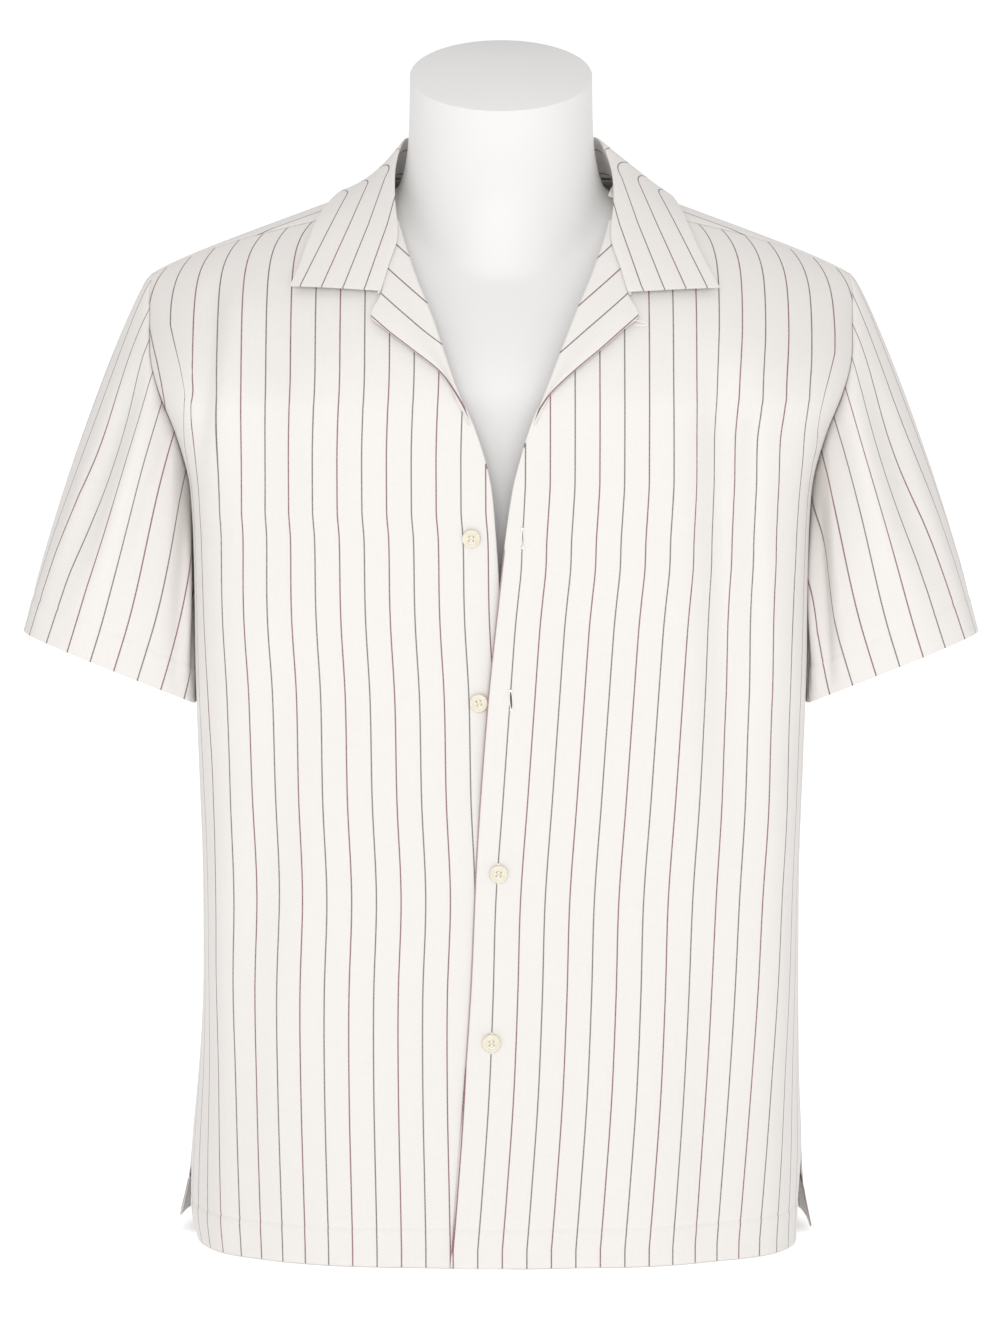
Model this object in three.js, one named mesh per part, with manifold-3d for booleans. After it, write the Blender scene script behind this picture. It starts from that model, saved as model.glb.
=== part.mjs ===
// A short-sleeved camp shirt, worn open at the neck by a smooth torso form with no limbs.
// Millimetres. +Z is up, the shirt's front faces -Y, and +X is the wearer's left.
// The origin is under the middle of the form, on the surface that the form stands on.
// Each cloth piece is a thin wall lofted through sections of one garment shape. That shape is a stack of
// rounded sections up to the chest, and above it an arch from the chest over the shoulder to the back.
import * as THREE from "three";
import { mergeVertices } from "three/addons/utils/BufferGeometryUtils.js";
import Module from "manifold-3d";

const wasm = await Module();
wasm.setup();

// Driving sizes
const wallThickness = 1.2;
const halfSeam = 0.3; // each side of a seam stands back by this
const frontHem = 2;
const backHem = 14;
const ventTop = 46;
const underarm = 478;
const chestLine = 600; // the arch over the shoulder starts here
const neckApex = 774.5; // where the two shoulder slopes would meet
const shoulderSlope = 0.372;
const ridgeRound = 15; // how far from the middle the two slopes blend
const tipDrop = 4; // how much the slopes round off at their ends
const shoulderTip = 245; // half the width across the shoulders
const shoulderSeamAngle = 72; // degrees up the arch: 0 is the front chest, 90 the ridge, 180 the back
const yokeSeamHeight = 660;
const archLength = 200; // how far the height parameter runs from the chest line to the ridge
const middleShift = 1.7;
const archLean = 0.055; // how far the grain leans to the neck as it climbs the arch
const lapLift = 1.9; // the upper front lies this far over the lower one
const buttonRadius = 6.3;
const buttonHeights = [159, 277, 396, 510];

// Sections of the body: half width, depth in front and behind, and how square the corners are.
const bodySections = [
  { z: 0, wide: 214, front: 133, back: 128, square: 2.6 },
  { z: 60, wide: 212, front: 132, back: 126, square: 2.8 },
  { z: 130, wide: 210, front: 130, back: 123, square: 3.1 },
  { z: 200, wide: 209, front: 128, back: 120, square: 3.8 },
  { z: 270, wide: 209, front: 127, back: 118, square: 4.3 },
  { z: 340, wide: 211, front: 127, back: 118, square: 4.8 },
  { z: 410, wide: 213, front: 128, back: 119, square: 5.2 },
  { z: 478, wide: 213.5, front: 129, back: 120, square: 5.4 },
  { z: 520, wide: 215, front: 129, back: 121, square: 5.2 },
  { z: 546, wide: 218, front: 129, back: 121, square: 5 },
  { z: 575, wide: 227, front: 128, back: 121, square: 4.6 },
  { z: 600, wide: 238, front: 127, back: 120, square: 4.2 },
  { z: 625, wide: 247, front: 126, back: 119, square: 3.8 },
  { z: 655, wide: 252, front: 125, back: 118, square: 3.4 },
  { z: 690, wide: 260, front: 125, back: 118, square: 3.2 },
  { z: 800, wide: 262, front: 125, back: 118, square: 3.2 },
];
const archPower = { front: 1.6, back: 2 };

// How the cloth swings out beside the vents, at the wearer's right and left.
const sideFlares = [
  { sign: -1, top: 200, bottom: -20, wide: 80, deep: 10 },
  { sign: 1, top: 130, bottom: -40, wide: 60, deep: 2.5 },
];

// The armhole as a share of each section's depth, before its round bottom is cut.
const armholeShares = [
  { z: 478, front: 0.26, back: 0.32 },
  { z: 520, front: 0.3, back: 0.38 },
  { z: 546, front: 0.36, back: 0.44 },
  { z: 575, front: 0.43, back: 0.52 },
  { z: 600, front: 0.456, back: 0.55 },
  { z: 635, front: 0.41, back: 0.5 },
  { z: 659, front: 0.35, back: 0.4 },
  { z: 680, front: 0.32, back: 0.32 },
];
const armholeRound = 40;

// Where the two fronts end: the button edge below, and the roll line of the lapel above.
const frontEdges = [
  { z: 2, upper: -34.2, lower: 5 },
  { z: 64, upper: -29.7, lower: 4 },
  { z: 190, upper: -20.7, lower: 2.2 },
  { z: 294, upper: -15.9, lower: 3.4 },
  { z: 398, upper: -8.3, lower: 0.6 },
  { z: 470, upper: -0.7, lower: -1.6 },
  { z: 513, upper: 4.2, lower: -4.4 },
  { z: 545, upper: 9, lower: -7.4 },
  { z: 567, upper: 14.6, lower: -12.5 },
  { z: 589, upper: 21.5, lower: -20 },
  { z: 619, upper: 33, lower: -32 },
  { z: 659, upper: 47, lower: -46 },
  { z: 687, upper: 58, lower: -58 },
  { z: 714, upper: 68, lower: -68 },
  { z: 727, upper: 72, lower: -72 },
  { z: 740, upper: 75, lower: -75 },
];

// Soft folds: where each one runs, from its top to its bottom, and how wide and deep it is.
const bodyFolds = [
  { side: "front", top: 655, bottom: 250, from: 153, to: 160, wide: 20, deep: -14 },
  { side: "front", top: 668, bottom: 430, from: -168, to: -152, wide: 24, deep: -5 },
  { side: "front", top: 420, bottom: -160, from: -108, to: -128, wide: 34, deep: 4 },
  { side: "front", top: 480, bottom: -160, from: 84, to: 104, wide: 36, deep: 4.5 },
  { side: "front", top: 360, bottom: -180, from: -196, to: -206, wide: 22, deep: 4 },
  { side: "front", top: 400, bottom: -180, from: 192, to: 202, wide: 24, deep: 4 },
  { side: "back", top: 655, bottom: -200, from: -66, to: -88, wide: 38, deep: -7 },
  { side: "back", top: 655, bottom: -160, from: 56, to: 72, wide: 34, deep: -6 },
  { side: "back", top: 560, bottom: -200, from: -10, to: -4, wide: 40, deep: 4 },
  { side: "back", top: 640, bottom: 60, from: -176, to: -152, wide: 34, deep: -7 },
  { side: "back", top: 640, bottom: 20, from: 178, to: 156, wide: 32, deep: -8 },
  { side: "back", top: 380, bottom: -180, from: 134, to: 142, wide: 42, deep: 5 },
];

// The sleeve's cuff, an oval hoop, and the soft folds round it; turn 0 is the top and 0.5 the underarm.
const cuff = { x: 275.4, y: -7, z: 407, wide: 63, deep: 57, slope: 22, tip: 5 };
const sleeveBulge = 11;
const sleeveFolds = [
  { turn: 0.16, from: 0.02, to: 0.8, wide: 0.035, deep: -4.5 },
  { turn: 0.3, from: 0.04, to: 1.1, wide: 0.04, deep: -3.5 },
  { turn: 0.23, from: 0.1, to: 1.2, wide: 0.045, deep: 3.5 },
  { turn: 0.68, from: 0.05, to: 0.9, wide: 0.04, deep: -4.5 },
  { turn: 0.8, from: 0.08, to: 1.2, wide: 0.05, deep: 3.5 },
];

const foldGrows = 0.2; // the share of a fold's length in which it deepens, and in which it fades
const foldFades = 0.6;

// The collar, from the middle of the back (along 0) to its front end (along 1): its seam, its fold and its
// edge, each as a distance from the middle, an angle up the arch and a lift off the garment shape.
const collarSections = [
  { along: 0, seamX: 0, seam: 123.5, foldX: 0, fold: 118.5, rise: 29, edgeX: 0, edge: 134, lift: 3.5 },
  { along: 0.2, seamX: 40, seam: 119.5, foldX: 38, fold: 114.5, rise: 29, edgeX: 52, edge: 131, lift: 3.5 },
  { along: 0.38, seamX: 66, seam: 107.5, foldX: 61, fold: 103.5, rise: 28.5, edgeX: 91, edge: 120, lift: 4 },
  { along: 0.52, seamX: 77.5, seam: 92, foldX: 67.5, fold: 92, rise: 23.5, edgeX: 115, edge: 100, lift: 4 },
  { along: 0.65, seamX: 79, seam: 80, foldX: 72, fold: 80, rise: 12, edgeX: 124, edge: 80, lift: 4 },
  { along: 0.76, seamX: 77.5, seam: 66, foldX: 72.5, fold: 66, rise: 5.5, edgeX: 131, edge: 64, lift: 6 },
  { along: 0.88, seamX: 77, seam: 51, foldX: 74.6, fold: 51.5, rise: 4.6, edgeX: 139, edge: 52, lift: 5.5 },
  { along: 1, seamX: 85.5, seam: 36, foldX: 84, fold: 36.5, rise: 4.6, edgeX: 147.5, edge: 43.5, lift: 5.5 },
];

// The lapel, turned back from the roll line: how far it reaches at each height.
const lapelSections = [
  { z: 601, outer: 30, lift: 2.6 },
  { z: 612, outer: 37, lift: 3.4 },
  { z: 625, outer: 48, lift: 4.2 },
  { z: 640, outer: 65.5, lift: 4.8 },
  { z: 653, outer: 82, lift: 5 },
  { z: 661, outer: 91, lift: 5 },
  { z: 675, outer: 82.2, lift: 3.6 },
  { z: 690, outer: 75.2, lift: 2.8 },
  { z: 704, outer: 72.2, lift: 2.6 },
  { z: 722, outer: 73.6, lift: 2.4 },
];

// The form: sections of its torso, and of its neck, which leans forward and is cut off at a slant.
const formSections = [
  { z: 0, wide: 150, front: 90, back: 84, square: 2.3 },
  { z: 110, wide: 160, front: 94, back: 89, square: 2.3 },
  { z: 220, wide: 156, front: 92, back: 86, square: 2.3 },
  { z: 330, wide: 150, front: 92, back: 84, square: 2.3 },
  { z: 440, wide: 162, front: 104, back: 92, square: 2.3 },
  { z: 530, wide: 178, front: 110, back: 104, square: 2.3 },
  { z: 580, wide: 196, front: 110, back: 106, square: 2.4 },
  { z: 620, wide: 219, front: 108, back: 105, square: 2.5 },
  { z: 655, wide: 230, front: 106, back: 103, square: 2.5 },
  { z: 690, wide: 233, front: 104, back: 101, square: 2.5 },
  { z: 800, wide: 233, front: 104, back: 101, square: 2.5 },
];
const formApex = 736;
const formClearance = wallThickness + 1;
const neckSections = [
  { z: 640, y: 4, wide: 104, deep: 76, tilt: 0 },
  { z: 680, y: 4, wide: 99, deep: 76, tilt: 0 },
  { z: 704, y: 0, wide: 84, deep: 66, tilt: 0 },
  { z: 722, y: -2, wide: 74.5, deep: 60, tilt: 2 },
  { z: 742, y: -3, wide: 68.5, deep: 58, tilt: 5 },
  { z: 765, y: -6, wide: 65, deep: 59, tilt: 9 },
  { z: 795, y: -11, wide: 63.8, deep: 62, tilt: 14 },
  { z: 819.5, y: -15, wide: 63.5, deep: 64.5, tilt: 18.5 },
];

const degrees = Math.PI / 180;
const clamp = (value, low, high) => Math.min(high, Math.max(low, value));
const mix = (a, b, share) => a + (b - a) * share;
const smooth = (share) => {
  const t = clamp(share, 0, 1);
  return t * t * (3 - 2 * t);
};

// Reads one column of a table at a place between its rows, on a smooth curve through them.
function read(rows, column, at, key = "z") {
  const last = rows.length - 1;
  const place = clamp(at, rows[0][key], rows[last][key]);
  let i = 0;
  while (i < last - 1 && place > rows[i + 1][key]) i += 1;
  const slope = (k) => {
    const low = rows[Math.max(k - 1, 0)];
    const high = rows[Math.min(k + 1, last)];
    return (high[column] - low[column]) / (high[key] - low[key]);
  };
  const span = rows[i + 1][key] - rows[i][key];
  const t = (place - rows[i][key]) / span;
  const t2 = t * t;
  const t3 = t2 * t;
  return (
    (2 * t3 - 3 * t2 + 1) * rows[i][column] +
    (t3 - 2 * t2 + t) * span * slope(i) +
    (3 * t2 - 2 * t3) * rows[i + 1][column] +
    (t3 - t2) * span * slope(i + 1)
  );
}

const section = (rows, z, side) => ({
  wide: read(rows, "wide", z),
  deep: read(rows, side, z),
  square: read(rows, "square", z),
});

// How deep a section is at a distance x from its middle.
function depthAt(s, x) {
  const share = clamp(Math.abs(x) / s.wide, 0, 1);
  return s.deep * (1 - share ** s.square) ** (1 / s.square);
}

// The outward direction of a section at a point on it.
function outward(s, x, y) {
  const nx = (Math.abs(x) / s.wide) ** (s.square - 1) / s.wide;
  const ny = (Math.abs(y) / s.deep) ** (s.square - 1) / s.deep;
  const length = Math.hypot(nx, ny);
  return { x: (Math.sign(x) * nx) / length, y: (Math.sign(y) * ny) / length };
}

// A quarter of a section as points with the length of cloth from the middle, kept for reuse.
const quarterSteps = 96;
const quarters = new Map();
function quarter(z, side) {
  const key = side + z.toFixed(2);
  if (!quarters.has(key)) {
    const s = section(bodySections, z, side);
    const points = [{ x: 0, y: s.deep, run: 0 }];
    for (let i = 1; i <= quarterSteps; i += 1) {
      const angle = (i / quarterSteps) * 90 * degrees;
      const x = s.wide * Math.sin(angle) ** (2 / s.square);
      const y = i === quarterSteps ? 0 : s.deep * Math.cos(angle) ** (2 / s.square);
      const before = points[i - 1];
      points.push({ x, y, run: before.run + Math.hypot(x - before.x, y - before.y) });
    }
    quarters.set(key, { ...s, points, length: points[quarterSteps].run });
  }
  return quarters.get(key);
}

// The point of a quarter at a length of cloth from the middle, or the length at a depth.
function alongQuarter(q, run) {
  const wanted = clamp(Math.abs(run), 0, q.length);
  let i = 1;
  while (i < quarterSteps && q.points[i].run < wanted) i += 1;
  const a = q.points[i - 1];
  const b = q.points[i];
  const share = (wanted - a.run) / (b.run - a.run);
  return { x: mix(a.x, b.x, share) * Math.sign(run || 1), y: mix(a.y, b.y, share) };
}

function runAtDepth(q, depth) {
  let i = 1;
  while (i < quarterSteps && q.points[i].y > depth) i += 1;
  const a = q.points[i - 1];
  const b = q.points[i];
  return mix(a.run, b.run, (a.y - depth) / (a.y - b.y || 1));
}

function runAtX(q, x) {
  let i = 1;
  while (i < quarterSteps && q.points[i].x < Math.abs(x)) i += 1;
  const a = q.points[i - 1];
  const b = q.points[i];
  return mix(a.run, b.run, (Math.abs(x) - a.x) / (b.x - a.x || 1)) * Math.sign(x);
}

function ridge(x) {
  const tip = tipDrop * (Math.abs(x) / shoulderTip) ** 12;
  return neckApex - shoulderSlope * Math.hypot(x, ridgeRound) - tip;
}

// How far the folds push the cloth out at a place on the body.
function foldLift(side, run, z) {
  let lift = 0;
  for (const flare of sideFlares) {
    if (z > flare.top || run * flare.sign < 0) continue;
    const off = (quarter(z, side).length - Math.abs(run)) / flare.wide;
    const held = side === "front" ? smooth((z + 20) / ventTop) : 1;
    const swing = smooth((flare.top - z) / (flare.top - flare.bottom));
    lift += held * flare.deep * Math.exp(-off * off) * swing;
  }
  for (const fold of bodyFolds) {
    if (fold.side !== side || z > fold.top || z < fold.bottom) continue;
    const down = (fold.top - z) / (fold.top - fold.bottom);
    const off = (run - mix(fold.from, fold.to, down)) / fold.wide;
    lift += fold.deep * Math.exp(-off * off) * smooth(down / foldGrows) * smooth((1 - down) / foldFades);
  }
  return lift;
}

// A point on the arch over the shoulder: x from the middle, the angle up the arch, and a lift off the shape.
function onArch(x, angle, lift) {
  const side = angle < 90 ? "front" : "back";
  const power = 2 / archPower[side];
  const level = Math.abs(Math.cos(angle * degrees)) ** power;
  const climb = Math.max(0, Math.sin(angle * degrees)) ** power;
  const z = chestLine + (ridge(x) + lift - chestLine) * climb;
  const s = section(bodySections, z, side);
  const flat = x / (1 - archLean * (1 - level));
  const y = (depthAt(s, flat) + lift) * level;
  return new THREE.Vector3(x, side === "front" ? -y : y, z);
}

// The angle up the arch that reaches a height.
function angleAt(x, z, side, lift = 0) {
  const climb = clamp((z - chestLine) / (ridge(x) + lift - chestLine), 0, 1);
  const angle = Math.asin(climb ** (archPower[side] / 2)) / degrees;
  return side === "front" ? angle : 180 - angle;
}

// A point of the garment shape at a length of cloth from the middle, below or above the chest line.
function onBody(side, run, height, lift = 0) {
  const sign = side === "front" ? -1 : 1;
  if (height <= chestLine) {
    const q = quarter(height, side);
    const p = alongQuarter(q, run);
    const n = outward(q, p.x, p.y);
    const out = lift + foldLift(side, run, height);
    return new THREE.Vector3(p.x + n.x * out, sign * (p.y + n.y * out), height);
  }
  const angle = ((height - chestLine) / archLength) * 90;
  const power = 2 / archPower[side];
  const level = Math.cos(angle * degrees) ** power;
  const climb = Math.sin(angle * degrees) ** power;
  let x = alongQuarter(quarter(chestLine, side), run).x;
  for (let turn = 0; turn < 3; turn += 1) {
    const z = chestLine + (ridge(x) - chestLine) * climb;
    x = alongQuarter(quarter(z, side), run).x * (1 - archLean * (1 - level));
  }
  const z = chestLine + (ridge(x) - chestLine) * climb;
  return onArch(x, side === "front" ? angle : 180 - angle, lift + foldLift(side, run, z));
}

// The cloth's length from the middle to the side seam, or to the armhole above the underarm.
function outerRun(side, height) {
  if (height <= underarm) return quarter(height, side).length - halfSeam;
  let z = height;
  if (height > chestLine) {
    const angle = ((height - chestLine) / archLength) * 90 * degrees;
    z = chestLine + (ridge(shoulderTip) - chestLine) * Math.sin(angle) ** (2 / archPower[side]);
  }
  const share = read(armholeShares, side, z) * Math.sqrt(clamp((z - underarm) / armholeRound, 0, 1));
  const q = quarter(z, side);
  return runAtDepth(q, share * q.deep);
}

// Turns rows of points into a closed wall, with the points as its outer face. Each square of the net is split
// along its shorter diagonal, the same way on both faces.
function wall(rows, thickness, closed = false) {
  const down = rows.length;
  const across = rows[0].length;
  const wrap = (i) => (closed ? (i + across) % across : clamp(i, 0, across - 1));
  const inner = rows.map((row, j) =>
    row.map((point, i) => {
      const along = row[wrap(i + 1)].clone().sub(row[wrap(i - 1)]);
      const up = rows[Math.min(j + 1, down - 1)][i].clone().sub(rows[Math.max(j - 1, 0)][i]);
      return point.clone().addScaledVector(along.cross(up).normalize(), -thickness);
    }),
  );
  const positions = [];
  const face = (a, b, c, d) => {
    for (const p of [a, b, c, a, c, d]) positions.push(p.x, p.y, p.z);
  };
  const columns = closed ? across : across - 1;
  for (let j = 0; j < down - 1; j += 1) {
    for (let i = 0; i < columns; i += 1) {
      const k = wrap(i + 1);
      const [low, high] = [rows[j], rows[j + 1]];
      const [inLow, inHigh] = [inner[j], inner[j + 1]];
      if (low[i].distanceTo(high[k]) < low[k].distanceTo(high[i])) {
        face(low[i], low[k], high[k], high[i]);
        face(inLow[i], inHigh[i], inHigh[k], inLow[k]);
      } else {
        face(low[k], high[k], high[i], low[i]);
        face(inLow[k], inLow[i], inHigh[i], inHigh[k]);
      }
    }
  }
  for (let i = 0; i < columns; i += 1) {
    const k = wrap(i + 1);
    const top = down - 1;
    face(inner[0][i], inner[0][k], rows[0][k], rows[0][i]);
    face(rows[top][i], rows[top][k], inner[top][k], inner[top][i]);
  }
  if (!closed) {
    const end = across - 1;
    for (let j = 0; j < down - 1; j += 1) {
      face(inner[j][0], rows[j][0], rows[j + 1][0], inner[j + 1][0]);
      face(rows[j][end], inner[j][end], inner[j + 1][end], rows[j + 1][end]);
    }
  }
  const geometry = new THREE.BufferGeometry();
  return geometry.setAttribute("position", new THREE.Float32BufferAttribute(positions, 3));
}

// Steps between stops, each stretch split evenly.
function steps(stretches) {
  const list = [stretches[0].from];
  for (const { from, to, count } of stretches) {
    for (let i = 1; i <= count; i += 1) list.push(mix(from, to, i / count));
  }
  return list;
}

// One front, from its button edge and roll line to its side seam and armhole.
const seamHeight = chestLine + (shoulderSeamAngle / 90) * archLength;
const frontRows = steps([
  { from: frontHem, to: 30, count: 1 },
  { from: 30, to: underarm, count: 9 },
  { from: underarm, to: 494, count: 2 },
  { from: 494, to: chestLine, count: 5 },
  { from: chestLine, to: seamHeight - 1.8 * halfSeam, count: 7 },
]);
const frontColumns = 18;
const lapEnds = { full: 8, none: 62 };
// Where the unbuttoned edge stands off more.
const lapGape = { deep: 2.2, bottom: 285, grown: 355, fades: 510 };
const ventSlant = 5; // each front edge of a vent stands back by this at the hem

function lapLiftAt(run, z) {
  const grown = smooth((z - lapGape.bottom) / (lapGape.grown - lapGape.bottom));
  const gape = lapGape.deep * grown * smooth((chestLine - z) / (chestLine - lapGape.fades));
  return (lapLift + gape) * (1 - smooth((run - lapEnds.full) / (lapEnds.none - lapEnds.full)));
}

function front(upper) {
  const sign = upper ? 1 : -1;
  return frontRows.map((height) => {
    const vent = clamp((ventTop - height) / ventTop, 0, 1);
    const outer = (outerRun("front", height) - ventSlant * vent) * sign;
    const edge = upper ? "upper" : "lower";
    const inner = height <= chestLine ? read(frontEdges, edge, height) : archEdgeRun(height, edge);
    const row = [];
    for (let i = 0; i <= frontColumns; i += 1) {
      const run = mix(inner, outer, i / frontColumns);
      row.push(onBody("front", run, height, upper ? lapLiftAt(run, height) : 0));
    }
    return upper ? row : row.reverse();
  });
}

// Where the roll line crosses a row above the chest line.
function archEdgeRun(height, column) {
  const angle = ((height - chestLine) / archLength) * 90;
  const power = 2 / archPower.front;
  const climb = Math.sin(angle * degrees) ** power;
  const level = Math.cos(angle * degrees) ** power;
  let x = read(frontEdges, column, chestLine);
  let z = chestLine;
  for (let turn = 0; turn < 6; turn += 1) {
    z = chestLine + (ridge(x) - chestLine) * climb;
    x = read(frontEdges, column, z);
  }
  return runAtX(quarter(z, "front"), x / (1 - archLean * (1 - level)));
}

// The back below the yoke, from side to side.
const backColumns = 28;
const backFlare = 7; // the back's hem corners stand out past the fronts by this
const backRows = steps([
  { from: backHem, to: 40, count: 1 },
  { from: 40, to: underarm, count: 9 },
  { from: underarm, to: 494, count: 2 },
  { from: 494, to: chestLine, count: 5 },
  { from: chestLine, to: yokeSeamHeight - halfSeam, count: 3 },
]);

function back() {
  return backRows.map((z) => {
    const row = [];
    for (let i = 0; i <= backColumns; i += 1) {
      const share = (i / backColumns) * 2 - 1;
      if (z <= chestLine) {
        const flare = backFlare * smooth((ventTop - z) / ventTop) * Math.abs(share) ** 8;
        const outer = z <= underarm ? outerRun("back", z) : armholeRunAt(z, "back");
        row.push(onBody("back", -share * outer, z, flare));
      } else {
        const run = -share * armholeRunAt(z, "back");
        const q = quarter(z, "back");
        let x = alongQuarter(q, run).x;
        for (let turn = 0; turn < 3; turn += 1) {
          const level = Math.abs(Math.cos(angleAt(x, z, "back") * degrees)) ** (2 / archPower.back);
          x = alongQuarter(q, run).x * (1 - archLean * (1 - level));
        }
        const fade = smooth((yokeSeamHeight - z) / 40);
        row.push(onArch(x, angleAt(x, z, "back"), fade * foldLift("back", run, z)));
      }
    }
    return row;
  });
}

function armholeRunAt(z, side) {
  const share = read(armholeShares, side, z) * Math.sqrt(clamp((z - underarm) / armholeRound, 0, 1));
  const q = quarter(z, side);
  return runAtDepth(q, share * q.deep);
}

// A place on the armhole above the chest line, as an x and an angle up the arch.
function armholeOnArch(angle) {
  const side = angle < 90 ? "front" : "back";
  const power = 2 / archPower[side];
  const level = Math.abs(Math.cos(angle * degrees)) ** power;
  const climb = Math.sin(angle * degrees) ** power;
  const z = chestLine + (ridge(shoulderTip) - chestLine) * climb;
  const q = quarter(z, side);
  const flat = alongQuarter(q, armholeRunAt(z, side)).x;
  return flat * (1 - archLean * (1 - level));
}

// The yoke, which comes over both shoulders from the back. Half of its neckline, from the front seam to the
// middle of the back.
const yokeNeckline = [
  { along: 0, x: 74.5, angle: 72.3 },
  { along: 0.25, x: 79, angle: 88 },
  { along: 0.5, x: 72, angle: 104 },
  { along: 0.75, x: 42, angle: 119 },
  { along: 1, x: 0, angle: 124 },
];
const yokeSteps = { along: 14, corner: 6, across: 7 };
const yokeCorner = yokeSteps.corner / yokeSteps.along;
const yokeBottom = yokeSeamHeight + 1.5 * halfSeam;
const shoulderSeamGap = 0.32; // degrees

function yokeOuter(along) {
  const start = shoulderSeamAngle + shoulderSeamGap;
  const cornerAngle = angleAt(armholeOnArch(130), yokeBottom, "back");
  if (along <= yokeCorner) {
    const angle = mix(start, cornerAngle, along / yokeCorner);
    return { x: armholeOnArch(angle), angle };
  }
  const x = mix(armholeOnArch(cornerAngle), 0, (along - yokeCorner) / (1 - yokeCorner));
  return { x, angle: angleAt(x, yokeBottom, "back") };
}

function yoke() {
  const rows = [];
  for (let j = -yokeSteps.along; j <= yokeSteps.along; j += 1) {
    const along = 1 - Math.abs(j) / yokeSteps.along;
    const neckX = read(yokeNeckline, "x", along, "along");
    const neckAngle = read(yokeNeckline, "angle", along, "along");
    const outer = yokeOuter(along);
    const row = [];
    for (let i = 0; i <= yokeSteps.across; i += 1) {
      const share = i / yokeSteps.across;
      const p = onArch(mix(neckX, outer.x, share), mix(neckAngle, outer.angle, share), 0);
      row.push(p.set(-p.x * Math.sign(j), p.y, p.z));
    }
    rows.push(row);
  }
  return rows;
}

// The armhole as a hoop of evenly spaced points, from the ridge down the front and up the back.
const sleeveSides = 28;
const sleeveLengths = 12;
const sleeveGap = { front: 0.95, more: 0.85 };

function armholeHoop() {
  const fine = 60;
  const branch = (side) => {
    const list = [];
    for (let i = 0; i <= fine; i += 1) {
      const height = mix(chestLine + archLength, underarm, (i / fine) ** 0.8);
      if (height > chestLine) {
        const angle = ((height - chestLine) / archLength) * 90;
        const onSide = side === "front" ? angle : 180 - angle;
        list.push(onArch(armholeOnArch(onSide), onSide, 0));
      } else {
        list.push(onBody(side, armholeRunAt(height, side), height));
      }
    }
    return list;
  };
  const spaced = (list) => {
    const curve = new THREE.CatmullRomCurve3(list);
    curve.arcLengthDivisions = 400;
    return curve.getSpacedPoints(sleeveSides / 2);
  };
  const down = spaced(branch("front"));
  const up = spaced(branch("back")).reverse();
  return [...down.slice(0, -1), ...up.slice(0, -1)];
}

function sleeve(sign) {
  const hoop = armholeHoop();
  const middle = hoop.reduce((sum, p) => sum.add(p), new THREE.Vector3()).divideScalar(hoop.length);
  const cuffMiddle = new THREE.Vector3(cuff.x, cuff.y, cuff.z);
  const wide = new THREE.Vector3(Math.cos(cuff.slope * degrees), 0, Math.sin(cuff.slope * degrees));
  const deep = new THREE.Vector3(0, -Math.cos(cuff.tip * degrees), Math.sin(cuff.tip * degrees));
  const rows = [];
  for (let j = 0; j <= sleeveLengths; j += 1) {
    const w = j / sleeveLengths;
    const row = hoop.map((from, i) => {
      const turn = i / sleeveSides;
      const angle = turn * 360 * degrees;
      const to = cuffMiddle
        .clone()
        .addScaledVector(wide, cuff.wide * Math.cos(angle))
        .addScaledVector(deep, cuff.deep * Math.sin(angle));
      const start = from.clone();
      start.x += sleeveGap.front + sleeveGap.more * Math.max(0, Math.cos(angle));
      const p = start.lerp(to, w);
      const axis = middle.clone().lerp(cuffMiddle, w);
      const out = p.clone().sub(axis).normalize();
      const outside = smooth((Math.cos(angle) + 1) / 1.2);
      let push = sleeveBulge * Math.sin(Math.PI * w ** 0.6) * outside;
      for (const fold of sleeveFolds) {
        const down = clamp((w - fold.from) / (fold.to - fold.from), 0, 1);
        const off = (turn - fold.turn) / fold.wide;
        push += fold.deep * Math.exp(-off * off) * Math.sin(Math.PI * down);
      }
      p.addScaledVector(out, push);
      return p.set(p.x * sign, p.y, p.z);
    });
    rows.push(sign > 0 ? row : row.reverse());
  }
  return rows;
}

// The collar stands up from the neckline, folds over, and falls to its outer edge.
const collarSteps = { halfLength: 20, stand: 3, fall: 6 };
const collarSeat = 0.8;
const collarTurn = 1.4; // the cloth's turn at the fold carries the fall this much further out
// How far each side's fall stands off the shoulder, and where along the collar.
const collarPuff = { left: 7, right: 1.5, at: 0.5, wide: 0.16 };

function collarPoint(along, across, side) {
  const value = (column) => read(collarSections, column, along, "along");
  const foldX = value("foldX");
  const fold = value("fold");
  const rise = value("rise");
  if (across <= 0) {
    const up = across + 1;
    const lift = mix(collarSeat, rise, up ** 1.1);
    return onArch(mix(value("seamX"), foldX, up), mix(value("seam"), fold, up), lift);
  }
  const near = Math.exp(-(((along - collarPuff.at) / collarPuff.wide) ** 2));
  const puff = collarPuff[side] * Math.sin(Math.PI * across) * near;
  const lift = mix(rise, value("lift"), 1 - (1 - across) ** 1.7) + puff + collarTurn;
  return onArch(mix(foldX, value("edgeX"), across), mix(fold, value("edge"), across ** 1.1), lift);
}

function collar() {
  const rows = [];
  for (let j = -collarSteps.stand; j <= collarSteps.fall; j += 1) {
    const across = j <= 0 ? j / collarSteps.stand : j / collarSteps.fall;
    const row = [];
    for (let i = -collarSteps.halfLength; i <= collarSteps.halfLength; i += 1) {
      const p = collarPoint(Math.abs(i) / collarSteps.halfLength, across, i < 0 ? "right" : "left");
      row.push(p.set(p.x * Math.sign(i), p.y, p.z));
    }
    rows.push(row);
  }
  return rows;
}

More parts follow.
